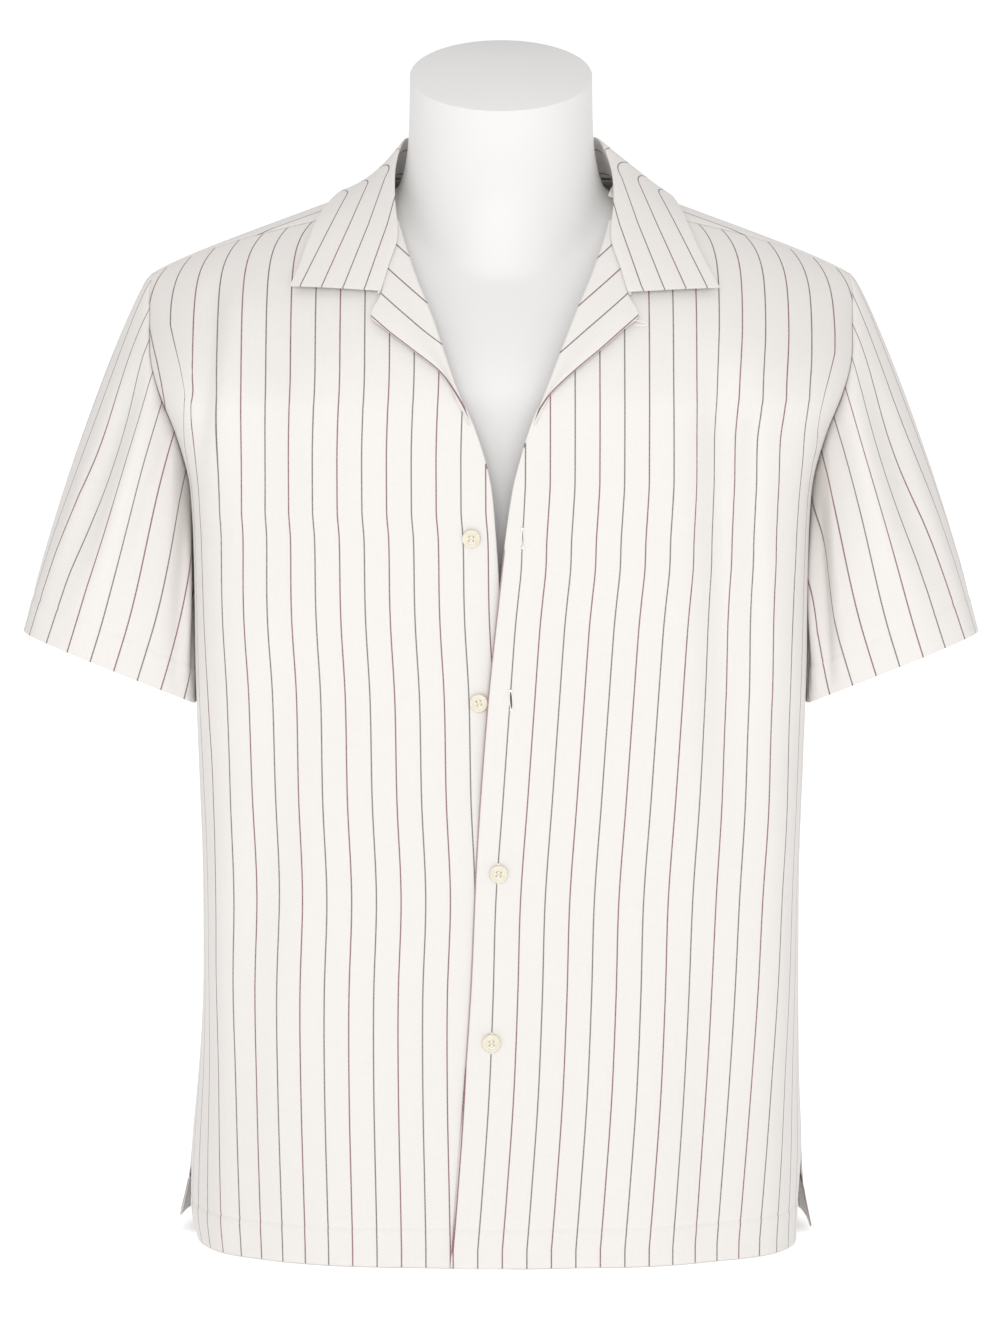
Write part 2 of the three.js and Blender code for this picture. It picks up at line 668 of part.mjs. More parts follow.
// A lapel, the top of a front's edge turned back on itself along the roll line.
const lapelSteps = { up: 12, across: 5 };
const lapelRoll = 0.4; // the roll line lies this far behind the front's edge
const lapelSeat = wallThickness + 0.7;
const lapelLeast = 2; // the lapel is at least this wide

function lapel(sign) {
  const rows = [];
  const bottom = lapelSections[0].z;
  const top = lapelSections[lapelSections.length - 1].z;
  for (let j = 0; j <= lapelSteps.up; j += 1) {
    const z = mix(bottom, top, j / lapelSteps.up);
    const inner = Math.abs(read(frontEdges, sign > 0 ? "upper" : "lower", z)) + lapelRoll;
    const outer = Math.max(read(lapelSections, "outer", z), inner + lapelLeast);
    const row = [];
    for (let i = 0; i <= lapelSteps.across; i += 1) {
      const share = i / lapelSteps.across;
      const x = mix(inner, outer, share);
      const extra = sign > 0 ? lapLiftAt(x, z) : 0;
      const lift = extra + mix(lapelSeat, read(lapelSections, "lift", z), share);
      const p = onArch(x, angleAt(x, z, "front", lift), lift);
      row.push(p.set(p.x * sign, p.y, p.z));
    }
    rows.push(sign > 0 ? row : row.reverse());
  }
  return rows;
}

// A closed mesh as a solid that can be joined or cut, and back again.
function solidOf(geometry) {
  const bare = geometry.clone();
  bare.deleteAttribute("normal");
  bare.deleteAttribute("uv");
  const merged = mergeVertices(bare, 1e-3);
  return new wasm.Manifold(
    new wasm.Mesh({
      numProp: 3,
      vertProperties: merged.attributes.position.array,
      triVerts: new Uint32Array(merged.index.array),
    }),
  );
}

function geometryOf(solid) {
  const mesh = solid.getMesh();
  return new THREE.BufferGeometry()
    .setAttribute("position", new THREE.BufferAttribute(mesh.vertProperties.slice(), 3))
    .setIndex(new THREE.BufferAttribute(mesh.triVerts.slice(), 1));
}

// A button: a dished disc with a rim and four sewing holes.
const buttonThickness = 2.4;
const buttonProfile = [
  [0, 0],
  [buttonRadius - 0.9, 0],
  [buttonRadius, 0.9],
  [buttonRadius, 1.7],
  [buttonRadius - 0.6, buttonThickness],
  [buttonRadius - 1.5, buttonThickness],
  [buttonRadius - 2.3, 1.8],
  [0, 1.8],
];
const buttonHole = { radius: 0.65, spread: 1.25, sides: 6 };

function buttonGeometry() {
  const points = buttonProfile.map(([r, h]) => new THREE.Vector2(r, h));
  let body = solidOf(new THREE.LatheGeometry(points, 20));
  for (const dx of [-1, 1]) {
    for (const dz of [-1, 1]) {
      const hole = new THREE.CylinderGeometry(
        buttonHole.radius,
        buttonHole.radius,
        3 * buttonThickness,
        buttonHole.sides,
      );
      hole.translate(dx * buttonHole.spread, 0, dz * buttonHole.spread);
      body = body.subtract(solidOf(hole));
    }
  }
  return geometryOf(body);
}

// The torso form, closed along its shoulder ridge, with the neck joined on.
const formSides = 36;
const formRows = steps([
  { from: 0, to: 440, count: 6 },
  { from: 440, to: chestLine, count: 4 },
  { from: chestLine, to: chestLine + archLength, count: 9 },
]);

function formPoint(height, turn) {
  const angle = turn * 360 * degrees;
  const front = Math.sin(angle) < 0;
  const side = front ? "front" : "back";
  const place = (z) => {
    const s = section(formSections, z, side);
    const x = s.wide * Math.sign(Math.cos(angle)) * Math.abs(Math.cos(angle)) ** (2 / s.square);
    return { x, y: depthAt(s, x) };
  };
  if (height <= chestLine) {
    const p = place(height);
    return new THREE.Vector3(p.x, front ? -p.y : p.y, height);
  }
  const up = ((height - chestLine) / archLength) * 90 * degrees;
  const power = 2 / archPower[side];
  const level = height >= chestLine + archLength ? 0 : Math.cos(up) ** power;
  const climb = Math.sin(up) ** power;
  const ridgeOf = (x) => Math.min(ridge(x) - formClearance, formApex);
  let z = height;
  let p = place(chestLine);
  for (let round = 0; round < 3; round += 1) {
    z = chestLine + (ridgeOf(p.x) - chestLine) * climb;
    p = place(z);
  }
  return new THREE.Vector3(p.x, front ? -p.y * level : p.y * level, z);
}

// Closes rows of hoops with a flat cap at the bottom and, if asked, at the top.
function hoopSolid(rows, capTop) {
  const positions = [];
  const face = (...points) => {
    for (const p of points) positions.push(p.x, p.y, p.z);
  };
  const centre = (row) => row.reduce((sum, p) => sum.add(p), new THREE.Vector3()).divideScalar(row.length);
  const bottom = centre(rows[0]);
  const top = centre(rows[rows.length - 1]);
  const count = rows[0].length;
  for (let i = 0; i < count; i += 1) {
    const k = (i + 1) % count;
    face(bottom, rows[0][k], rows[0][i]);
    if (capTop) face(top, rows[rows.length - 1][i], rows[rows.length - 1][k]);
    for (let j = 0; j < rows.length - 1; j += 1) {
      face(rows[j][i], rows[j][k], rows[j + 1][k]);
      face(rows[j][i], rows[j + 1][k], rows[j + 1][i]);
    }
  }
  const geometry = new THREE.BufferGeometry();
  geometry.setAttribute("position", new THREE.Float32BufferAttribute(positions, 3));
  return solidOf(geometry);
}

function form() {
  const torso = formRows.map((height) =>
    Array.from({ length: formSides }, (_, i) => formPoint(height, i / formSides)),
  );
  const neckSides = 32;
  const neck = neckSections.map(({ z, y, wide, deep, tilt }) =>
    Array.from({ length: neckSides }, (_, i) => {
      const angle = (i / neckSides) * 360 * degrees;
      const back = deep * Math.sin(angle);
      return new THREE.Vector3(
        wide * Math.cos(angle),
        y + back * Math.cos(tilt * degrees),
        z + back * Math.sin(tilt * degrees),
      );
    }),
  );
  return geometryOf(hoopSolid(torso, false).add(hoopSolid(neck, true)));
}

// Finishes
const cloth = { color: 0xf1efeb, roughness: 0.85, metalness: 0 };
const polyester = { color: 0xe6e0cc, roughness: 0.35, metalness: 0 };
const paintedShell = { color: 0xf2f2f1, roughness: 0.4, metalness: 0 };

const shirt = new THREE.Group();

function addPiece(name, geometry, finish) {
  const mesh = new THREE.Mesh(geometry, new THREE.MeshStandardMaterial(finish));
  mesh.name = name;
  shirt.add(mesh);
  return mesh;
}

addPiece("front_left", wall(front(true), wallThickness), cloth);
addPiece("front_right", wall(front(false), wallThickness), cloth);
addPiece("back", wall(back(), wallThickness), cloth);
addPiece("yoke", wall(yoke(), wallThickness), cloth);
addPiece("sleeve_left", wall(sleeve(1), wallThickness, true), cloth);
addPiece("sleeve_right", wall(sleeve(-1), wallThickness, true), cloth);
addPiece("collar", wall(collar(), wallThickness), cloth);
addPiece("lapel_left", wall(lapel(1), wallThickness), cloth);
addPiece("lapel_right", wall(lapel(-1), wallThickness), cloth);
addPiece("torso_form", form(), paintedShell);

// The two lower buttons hold the fronts together, and the two upper ones sit on the lower front.
const buttonShape = buttonGeometry();
const buttonSeat = 0.5;
const buttonPlaces = [
  { x: -6.5, fastened: true },
  { x: -1.6, fastened: true },
  { x: -15.2, fastened: false },
  { x: -20.4, fastened: false },
];
buttonHeights.forEach((height, i) => {
  const { x, fastened } = buttonPlaces[i];
  const lift = buttonSeat + (fastened ? lapLiftAt(x, height) : 0);
  const at = onBody("front", runAtX(quarter(height, "front"), x), height, lift);
  const button = addPiece("button_" + (i + 1), buttonShape, polyester);
  button.position.copy(at);
  button.rotation.x = 180 * degrees;
});

// The whole is brought over the origin, front to back.
shirt.position.y = middleShift;

export default shirt;
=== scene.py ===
import math

import bmesh
import bpy
import numpy as np
from mathutils import Matrix, Vector


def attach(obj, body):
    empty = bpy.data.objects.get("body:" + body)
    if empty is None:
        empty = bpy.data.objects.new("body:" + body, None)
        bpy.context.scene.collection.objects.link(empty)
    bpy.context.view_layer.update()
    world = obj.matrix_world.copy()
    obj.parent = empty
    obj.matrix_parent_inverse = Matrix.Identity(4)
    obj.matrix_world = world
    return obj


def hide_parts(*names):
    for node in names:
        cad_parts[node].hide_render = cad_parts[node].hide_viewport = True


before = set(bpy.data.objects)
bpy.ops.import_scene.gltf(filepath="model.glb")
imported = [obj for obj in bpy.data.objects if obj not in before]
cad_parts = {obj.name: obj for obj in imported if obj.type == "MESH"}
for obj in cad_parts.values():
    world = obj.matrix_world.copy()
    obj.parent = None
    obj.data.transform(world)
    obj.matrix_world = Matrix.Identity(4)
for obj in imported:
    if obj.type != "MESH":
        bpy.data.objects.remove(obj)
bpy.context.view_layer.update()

# The camera looks down a little on the shirt's front, from far off.
viewpoint = {"aim": (-0.0007, 0, 0.4035), "distance": 6.0, "pitch": 8.0, "lens": 230.9}


def placed(name, data):
    piece = bpy.data.objects.new(name, data)
    bpy.context.scene.collection.objects.link(piece)
    return piece


def meshFrom(bm, name):
    mesh = bpy.data.meshes.new(name)
    bm.to_mesh(mesh)
    bm.free()
    return mesh


def bevelEdges(piece, width):
    bevel = piece.modifiers.new("edges", "BEVEL")
    bevel.width = width * 0.001
    bevel.segments = 2
    bevel.limit_method = "ANGLE"
    bevel.angle_limit = math.radians(50)


def placeCamera():
    data = bpy.data.cameras.new("camera")
    data.lens = viewpoint["lens"]
    data.sensor_width = 36
    data.clip_end = 200
    camera = placed("camera", data)
    pitch = math.radians(viewpoint["pitch"])
    away = Vector((0, -math.cos(pitch), math.sin(pitch)))
    camera.location = Vector(viewpoint["aim"]) + away * viewpoint["distance"]
    camera.rotation_euler = (math.pi / 2 - pitch, 0, 0)
    bpy.context.scene.camera = camera


placeCamera()
print("camera placed")


class Wire:  # a socket that can stand in sums
    def __init__(self, finish, socket):
        self.finish = finish
        self.socket = socket

    def math(self, operation, first, second=0.0):
        return self.finish.add("ShaderNodeMath", {"operation": operation}, {0: first, 1: second})

    def __add__(self, other):
        return self.math("ADD", self, other)

    def __radd__(self, other):
        return self.math("ADD", other, self)

    def __sub__(self, other):
        return self.math("SUBTRACT", self, other)

    def __rsub__(self, other):
        return self.math("SUBTRACT", other, self)

    def __mul__(self, other):
        return self.math("MULTIPLY", self, other)

    def __rmul__(self, other):
        return self.math("MULTIPLY", other, self)


class Finish:  # a material and the nodes in it
    def __init__(self, name):
        self.material = bpy.data.materials.new(name)
        self.material.use_nodes = True
        self.nodes = self.material.node_tree.nodes
        self.links = self.material.node_tree.links
        self.nodes.clear()
        self.output = self.nodes.new("ShaderNodeOutputMaterial")

    def add(self, kind, settings=None, inputs=None, output=0):
        node = self.nodes.new(kind)
        for key, value in (settings or {}).items():
            setattr(node, key, value)
        for key, value in (inputs or {}).items():
            socket = node.inputs[key]
            if isinstance(value, Wire):
                self.links.new(value.socket, socket)
            else:
                socket.default_value = value
        return Wire(self, node.outputs[output])

    def mixColor(self, share, first, second):
        return self.add("ShaderNodeMix", {"data_type": "RGBA"}, {0: share, 6: first, 7: second}, 2)

    def between(self, value, low, high, outLow=0.0, outHigh=1.0):
        return self.add(
            "ShaderNodeMapRange",
            {"interpolation_type": "SMOOTHSTEP"},
            {"Value": value, "From Min": low, "From Max": high, "To Min": outLow, "To Max": outHigh},
        )

    def finish(self, inputs):
        surface = self.add("ShaderNodeBsdfPrincipled", {}, inputs)
        self.links.new(surface.socket, self.output.inputs["Surface"])
        return self.material


# The shirt's cloth: a smooth off-white weave with fine stripes, maroon and grey by turns. The stripes lie this many
# millimetres apart, and the look's own sizes are in metres.
stripeGap = 17.0
clothLook = {
    "ground": (0.713, 0.686, 0.661, 1),
    "maroon": (0.19, 0.07, 0.085, 1),
    "grey": (0.13, 0.112, 0.112, 1),
    "dark": 0.985,
    "pitch": stripeGap * 0.001,
    "width": 0.00094,
    "soft": 0.0004,
    "worn": 0.8,
    "roughness": 0.62,
    "sheen": 0.12,
    "yarn": 0.00042,
    "unevenness": ((900, 60, 1), (60, 900, 1)),
    "relief": 0.12,
}


def tinted(color, by):
    return tuple(min(1, part * by) for part in color[:3]) + (1,)


def clothMaterial():
    look = clothLook
    f = Finish("striped cloth")
    grain = f.add("ShaderNodeUVMap", {"uv_map": "grain"})
    across = f.add("ShaderNodeSeparateXYZ", {}, {0: grain})
    # the yarns' unevenness, long down the cloth and long across it
    slub, pick = (
        f.add("ShaderNodeTexNoise", {"noise_dimensions": "2D"}, {
            "Vector": f.add("ShaderNodeVectorMath", {"operation": "MULTIPLY"}, {0: grain, 1: stretch}),
            "Scale": 1.0,
            "Detail": 2.0,
        })
        for stretch in look["unevenness"]
    )
    weave = f.between((slub + pick) * 0.5, 0.35, 0.65)
    color = f.mixColor(weave, tinted(look["ground"], look["dark"]), look["ground"])
    edge = look["width"] / 2
    for tone, shift in (("grey", 0.0), ("maroon", look["pitch"])):
        off = f.add("ShaderNodeMath", {"operation": "PINGPONG"}, {0: across - shift, 1: look["pitch"]})
        line = f.between(off, edge - look["soft"] / 2, edge + look["soft"] / 2, 1.0, 0.0)
        color = f.mixColor(line * f.between(pick, 0.3, 0.7, look["worn"], 1.0), color, look[tone])
    waveScale = 2 * math.pi / look["yarn"] / 20
    warp, weft = (
        f.add("ShaderNodeTexWave", {"bands_direction": way}, {"Vector": grain, "Scale": waveScale}, "Fac")
        for way in ("X", "Y")
    )
    height = warp * weft + (slub + pick) * 0.8
    return f.finish({
        "Base Color": color,
        "Roughness": look["roughness"],
        "Sheen Weight": look["sheen"],
        "Sheen Roughness": 0.4,
        "Specular IOR Level": 0.35,
        "Normal": f.add("ShaderNodeBump", {}, {"Strength": look["relief"], "Distance": 0.0001, "Height": height}),
    })


# Garment sizes, in millimetres, as in the part.
body = {
    "middleShift": 1.7,
    "underarm": 478.0,
    "chestLine": 600.0,
    "neckApex": 774.5,
    "shoulderSlope": 0.372,
    "ridgeRound": 15.0,
    "tipDrop": 4.0,
    "shoulderTip": 245.0,
    "shoulderSeamAngle": 72.0,
    "yokeSeam": 660.0,
    "seamRise": 13.5,
    "archLength": 200.0,
    "archLean": 0.055,
    "archPower": {"front": 1.6, "back": 2.0},
    "armholeRound": 40.0,
    "ventTop": 46.0,
    "foldGrows": 0.2,
    "foldFades": 0.6,
}


def table(names, *rows):
    return {name: np.array(column, float) for name, column in zip(names.split(), zip(*rows))}


bodySections = table(
    "z wide front back square",
    (0, 214, 133, 128, 2.6),
    (60, 212, 132, 126, 2.8),
    (130, 210, 130, 123, 3.1),
    (200, 209, 128, 120, 3.8),
    (270, 209, 127, 118, 4.3),
    (340, 211, 127, 118, 4.8),
    (410, 213, 128, 119, 5.2),
    (478, 213.5, 129, 120, 5.4),
    (520, 215, 129, 121, 5.2),
    (546, 218, 129, 121, 5),
    (575, 227, 128, 121, 4.6),
    (600, 238, 127, 120, 4.2),
    (625, 247, 126, 119, 3.8),
    (655, 252, 125, 118, 3.4),
    (690, 260, 125, 118, 3.2),
    (800, 262, 125, 118, 3.2),
)
armholeShares = table(
    "z front back",
    (478, 0.26, 0.32),
    (520, 0.3, 0.38),
    (546, 0.36, 0.44),
    (575, 0.43, 0.52),
    (600, 0.456, 0.55),
    (635, 0.41, 0.5),
    (659, 0.35, 0.4),
    (680, 0.32, 0.32),
)
sideFlares = [
    {"sign": -1, "top": 200, "bottom": -20, "wide": 80, "deep": 10},
    {"sign": 1, "top": 130, "bottom": -40, "wide": 60, "deep": 2.5},
]
foldColumns = "side top bottom start end wide deep"
largeFolds = [
    ("front", 655, 250, 153, 160, 20, -14),
    ("front", 668, 430, -168, -152, 24, -5),
    ("front", 420, -160, -108, -128, 34, 4),
    ("front", 480, -160, 84, 104, 36, 4.5),
    ("front", 360, -180, -196, -206, 22, 4),
    ("front", 400, -180, 192, 202, 24, 4),
    ("back", 655, -200, -66, -88, 38, -7),
    ("back", 655, -160, 56, 72, 34, -6),
    ("back", 560, -200, -10, -4, 40, 4),
    ("back", 640, 60, -176, -152, 34, -7),
    ("back", 640, 20, 178, 156, 32, -8),
    ("back", 380, -180, 134, 142, 42, 5),
]
# Smaller creases, which only show up close: soft troughs and ridges of uneven length.
smallFolds = [
    ("front", 690, 540, -203, -212, 9, -5),
    ("front", 690, 520, -188, -196, 12, 2.5),
    ("front", 640, 470, -118, -96, 20, -1.5),
    ("front", 560, 330, -62, -70, 22, 1.4),
    ("front", 470, 120, -150, -168, 20, -2.2),
    ("front", 250, -90, -66, -58, 22, -1.8),
    ("front", 300, -120, -150, -164, 18, 1.8),
    ("front", 660, 470, 120, 104, 22, -2),
    ("front", 620, 380, 178, 184, 11, 3),
    ("front", 520, 200, 60, 52, 18, -1.3),
    ("front", 330, -100, 56, 66, 20, -2),
    ("front", 260, -120, 140, 152, 20, -2.4),
    ("front", 420, 60, 126, 138, 16, 1.6),
    ("back", 600, 260, -122, -110, 18, 2.4),
    ("back", 520, 120, -36, -44, 20, -2.2),
    ("back", 460, 40, 22, 30, 18, -2.6),
    ("back", 640, 330, 108, 98, 17, 2.2),
    ("back", 300, -120, -140, -150, 22, -3),
    ("back", 240, -160, 96, 104, 18, -2.4),
    ("back", 655, 470, 20, 12, 16, -1.6),
]


def smooth(share):
    t = np.clip(share, 0, 1)
    return t * t * (3 - 2 * t)


def mix(a, b, share):
    return a + (b - a) * share


def together(*values):
    return np.broadcast_arrays(*(np.asarray(value, float) for value in values))


def read(rows, column, at, key="z"):  # a smooth curve through one column of a table
    keys, values = rows[key], rows[column]
    slopes = np.empty_like(values)
    slopes[1:-1] = (values[2:] - values[:-2]) / (keys[2:] - keys[:-2])
    slopes[0] = (values[1] - values[0]) / (keys[1] - keys[0])
    slopes[-1] = (values[-1] - values[-2]) / (keys[-1] - keys[-2])
    place = np.clip(at, keys[0], keys[-1])
    i = np.clip(np.searchsorted(keys, place) - 1, 0, len(keys) - 2)
    span = keys[i + 1] - keys[i]
    t = (place - keys[i]) / span
    return (
        (2 * t**3 - 3 * t**2 + 1) * values[i]
        + (t**3 - 2 * t**2 + t) * span * slopes[i]
        + (3 * t**2 - 2 * t**3) * values[i + 1]
        + (t**3 - t**2) * span * slopes[i + 1]
    )


def depthAt(rows, side, z, x):
    square = read(rows, "square", z)
    share = np.clip(np.abs(x) / read(rows, "wide", z), 0, 1)
    return read(rows, side, z) * (1 - share**square) ** (1 / square)


def outward(side, z, x, y):
    wide, deep, square = (read(bodySections, c, z) for c in ("wide", side, "square"))
    nx = (np.abs(x) / wide) ** (square - 1) / wide
    ny = (np.abs(y) / deep) ** (square - 1) / deep
    length = np.hypot(nx, ny)
    return np.sign(x) * nx / length, ny / length


arcHeights = np.arange(0, 802, 2.0)
arcRuns = np.arange(0, 402, 1.0)


def measureArcs(side):  # x, y and full length of a quarter of each section, by the length of cloth from the middle
    turn = np.linspace(0, np.pi / 2, 481)
    xs, ys, lengths = [], [], []
    for z in arcHeights:
        wide, deep, square = (read(bodySections, c, z) for c in ("wide", side, "square"))
        x = wide * np.sin(turn) ** (2 / square)
        y = deep * np.abs(np.cos(turn)) ** (2 / square)
        y[-1] = 0
        run = np.concatenate([[0], np.cumsum(np.hypot(np.diff(x), np.diff(y)))])
        xs.append(np.interp(arcRuns, run, x))
        ys.append(np.interp(arcRuns, run, y))
        lengths.append(run[-1])
    return {"x": np.array(xs), "y": np.array(ys), "length": np.array(lengths)}


arcs = {side: measureArcs(side) for side in ("front", "back")}


def alongArc(side, z, run):
    z, run = together(z, run)
    row = np.clip(z / 2, 0, len(arcHeights) - 1.001)
    column = np.clip(np.minimum(np.abs(run), arcLength(side, z)), 0, len(arcRuns) - 1.001)
    j, i = row.astype(int), column.astype(int)
    v, u = row - j, column - i
    found = []
    for grid in (arcs[side]["x"], arcs[side]["y"]):
        low = mix(grid[j, i], grid[j, i + 1], u)
        high = mix(grid[j + 1, i], grid[j + 1, i + 1], u)
        found.append(mix(low, high, v))
    return found[0] * np.where(run < 0, -1, 1), found[1]


def arcLength(side, z):
    return np.interp(z, arcHeights, arcs[side]["length"])


def runWhere(side, z, isNear):  # the length of cloth out from the middle to a place, found by halving
    low, high = np.zeros(z.shape), np.array(arcLength(side, z), float)
    for _ in range(24):
        middle = (low + high) / 2
        near = isNear(*alongArc(side, z, middle))
        low, high = np.where(near, middle, low), np.where(near, high, middle)
    return (low + high) / 2


def runAtDepth(side, z, depth):
    z, depth = together(z, depth)
    return runWhere(side, z, lambda x, y: y > depth)


def runAtX(side, z, x):
    z, x = together(z, x)
    return runWhere(side, z, lambda out, y: out < np.abs(x)) * np.sign(x)


def ridge(x):
    tip = body["tipDrop"] * (np.abs(x) / body["shoulderTip"]) ** 12
    return body["neckApex"] - body["shoulderSlope"] * np.hypot(x, body["ridgeRound"]) - tip


def foldLift(side, run, z):
    lift = np.zeros(np.broadcast(run, z).shape)
    for flare in sideFlares:
        off = (arcLength(side, z) - np.abs(run)) / flare["wide"]
        held = smooth((z + 20) / body["ventTop"]) if side == "front" else 1
        swing = smooth((flare["top"] - z) / (flare["top"] - flare["bottom"]))
        there = (run * flare["sign"] >= 0) & (z <= flare["top"])
        lift = lift + np.where(there, held * flare["deep"] * np.exp(-off * off) * swing, 0)
    for row in largeFolds + smallFolds:
        fold = dict(zip(foldColumns.split(), row))
        if fold["side"] != side:
            continue
        down = (fold["top"] - z) / (fold["top"] - fold["bottom"])
        wander = 2.5 * np.sin(down * 7 + fold["start"]) if row in smallFolds else 0
        off = (run - mix(fold["start"], fold["end"], down) - wander) / fold["wide"]
        envelope = smooth(down / body["foldGrows"]) * smooth((1 - down) / body["foldFades"])
        lift = lift + fold["deep"] * np.exp(-off * off) * envelope
    return lift


def archShares(side, angle):  # how level and how far up the arch over the shoulder an angle is
    power = 2 / body["archPower"][side]
    return np.abs(np.cos(np.radians(angle))) ** power, np.clip(np.sin(np.radians(angle)), 0, 1) ** power


def climbTo(x, climb, lift=0.0):
    return body["chestLine"] + (ridge(x) + lift - body["chestLine"]) * climb


def leaning(level):  # the arch leans in as it climbs
    return 1 - body["archLean"] * (1 - level)


def onArch(x, angle, lift):  # a point over the shoulder; angle 0 is the front chest, 90 the ridge, 180 the back
    x, angle, lift = together(x, angle, lift)
    parts = {}
    for side in ("front", "back"):
        level, climb = archShares(side, angle)
        z = climbTo(x, climb, lift)
        flat = x / leaning(level)
        depth = depthAt(bodySections, side, z, flat)
        nx, ny = outward(side, z, flat, depth)
        y = (depth + lift * ny) * level
        parts[side] = np.stack([x + lift * nx * level, y if side == "back" else -y, z], -1)
    return np.where((angle < 90)[..., None], parts["front"], parts["back"])


def angleAt(x, z, side, lift=0.0):
    climb = np.clip((z - body["chestLine"]) / (ridge(x) + lift - body["chestLine"]), 0, 1)
    angle = np.degrees(np.arcsin(climb ** (body["archPower"][side] / 2)))
    return angle if side == "front" else 180 - angle


def seamAngle(x):  # the shoulder seam runs forward of the ridge near the neck and up to it at the tip
    return body["shoulderSeamAngle"] + body["seamRise"] * smooth((np.abs(x) - 105) / 120)


def archPlace(side, height):  # the angle of a height, and how level and how far up the arch it is
    angle = np.clip((height - body["chestLine"]) / body["archLength"] * 90, 0, 90)
    return angle, *archShares(side, angle)


def onBody(side, run, height, lift=0.0):
    run, height, lift = together(run, height, lift)
    sign = -1 if side == "front" else 1
    low = np.minimum(height, body["chestLine"])
    x, y = alongArc(side, low, run)
    nx, ny = outward(side, low, x, y)
    out = lift + foldLift(side, run, low)
    below = np.stack([x + nx * out, sign * (y + ny * out), low], -1)
    angle, level, climb = archPlace(side, height)
    x = alongArc(side, body["chestLine"], run)[0]
    for _ in range(4):
        x = alongArc(side, climbTo(x, climb), run)[0] * leaning(level)
    above = onArch(x, angle if side == "front" else 180 - angle, lift + foldLift(side, run, climbTo(x, climb)))
    return np.where((height <= body["chestLine"])[..., None], below, above)


def onFront(x, z, lift):  # a point of the front by how far out and how high it is
    x, z, lift = together(x, z, lift)
    low = np.minimum(z, body["chestLine"])
    below = onBody("front", runAtX("front", low, x), low, lift)
    above = onArch(x, angleAt(x, z, "front", lift), lift)
    return np.where((z < body["chestLine"])[..., None], below, above)


def armholeRun(side, z):
    rounding = np.sqrt(np.clip((z - body["underarm"]) / body["armholeRound"], 0, 1))
    share = read(armholeShares, side, z) * rounding
    return runAtDepth(side, z, share * read(bodySections, side, z))


def outerRun(side, height):
    _, _, climb = archPlace(side, height)
    z = np.where(height > body["chestLine"], climbTo(body["shoulderTip"], climb), height)
    return np.where(height <= body["underarm"], arcLength(side, height), armholeRun(side, z))


def lengthAlong(points, axis=0):  # how far each point lies from the first one of its row or column
    step = np.linalg.norm(np.diff(points, axis=axis, prepend=np.take(points, [0], axis)), axis=-1)
    return np.cumsum(step, axis=axis)


def normalsOf(points):
    normal = np.cross(np.gradient(points, axis=1), np.gradient(points, axis=0))
    return normal / np.maximum(np.linalg.norm(normal, axis=2, keepdims=True), 1e-9)


# A sheet is kept as its outer points and, for each, its place on the flat cloth: across and along the grain.
def sheetOf(points, across, along, sign=1):  # on the wearer's right the columns run the other way
    columns = slice(None, None, sign)
    return {
        "points": points[:, columns],
        "across": (across + 0 * points[..., 0])[:, columns],
        "along": (along + 0 * points[..., 0])[:, columns],
    }


def turned(array, edge):  # the rows counted in from an edge
    array = array.swapaxes(0, 1) if edge in ("left", "right") else array
    return array[::-1] if edge in ("top", "right") else array


def turnedBack(array, edge):
    array = array[::-1] if edge in ("top", "right") else array
    return array.swapaxes(0, 1) if edge in ("left", "right") else array


def turnUnder(sheet, edge, deep, gap):  # the cloth past an edge, folded round it and laid inside
    points = turned(sheet["points"], edge)
    normal = turned(normalsOf(sheet["points"]), edge)
    across, along = turned(sheet["across"], edge), turned(sheet["along"], edge)
    reach = np.cumsum(np.linalg.norm(np.diff(points, axis=0), axis=2).mean(axis=1))
    count = int(np.searchsorted(reach, deep)) + 1
    tangent = points[0] - points[1]
    tangent = tangent / np.linalg.norm(tangent, axis=1, keepdims=True)
    rows = [points[j] - normal[j] * gap for j in range(count, -1, -1)]
    grain = [(2 * across[0] - across[j], 2 * along[0] - along[j]) for j in range(count, -1, -1)]
    for turn in (0.8, 0.6, 0.4, 0.2):
        angle = turn * math.pi
        swing = tangent * math.sin(angle) - normal[0] * (1 - math.cos(angle))
        rows.append(points[0] + swing * gap / 2)
        grain.append((across[0], along[0]))
    rows.append(points[0])
    grain.append((across[0], along[0]))
    return {
        "points": turnedBack(np.array(rows), edge),
        "across": turnedBack(np.array([g[0] for g in grain]), edge),
        "along": turnedBack(np.array([g[1] for g in grain]), edge),
    }


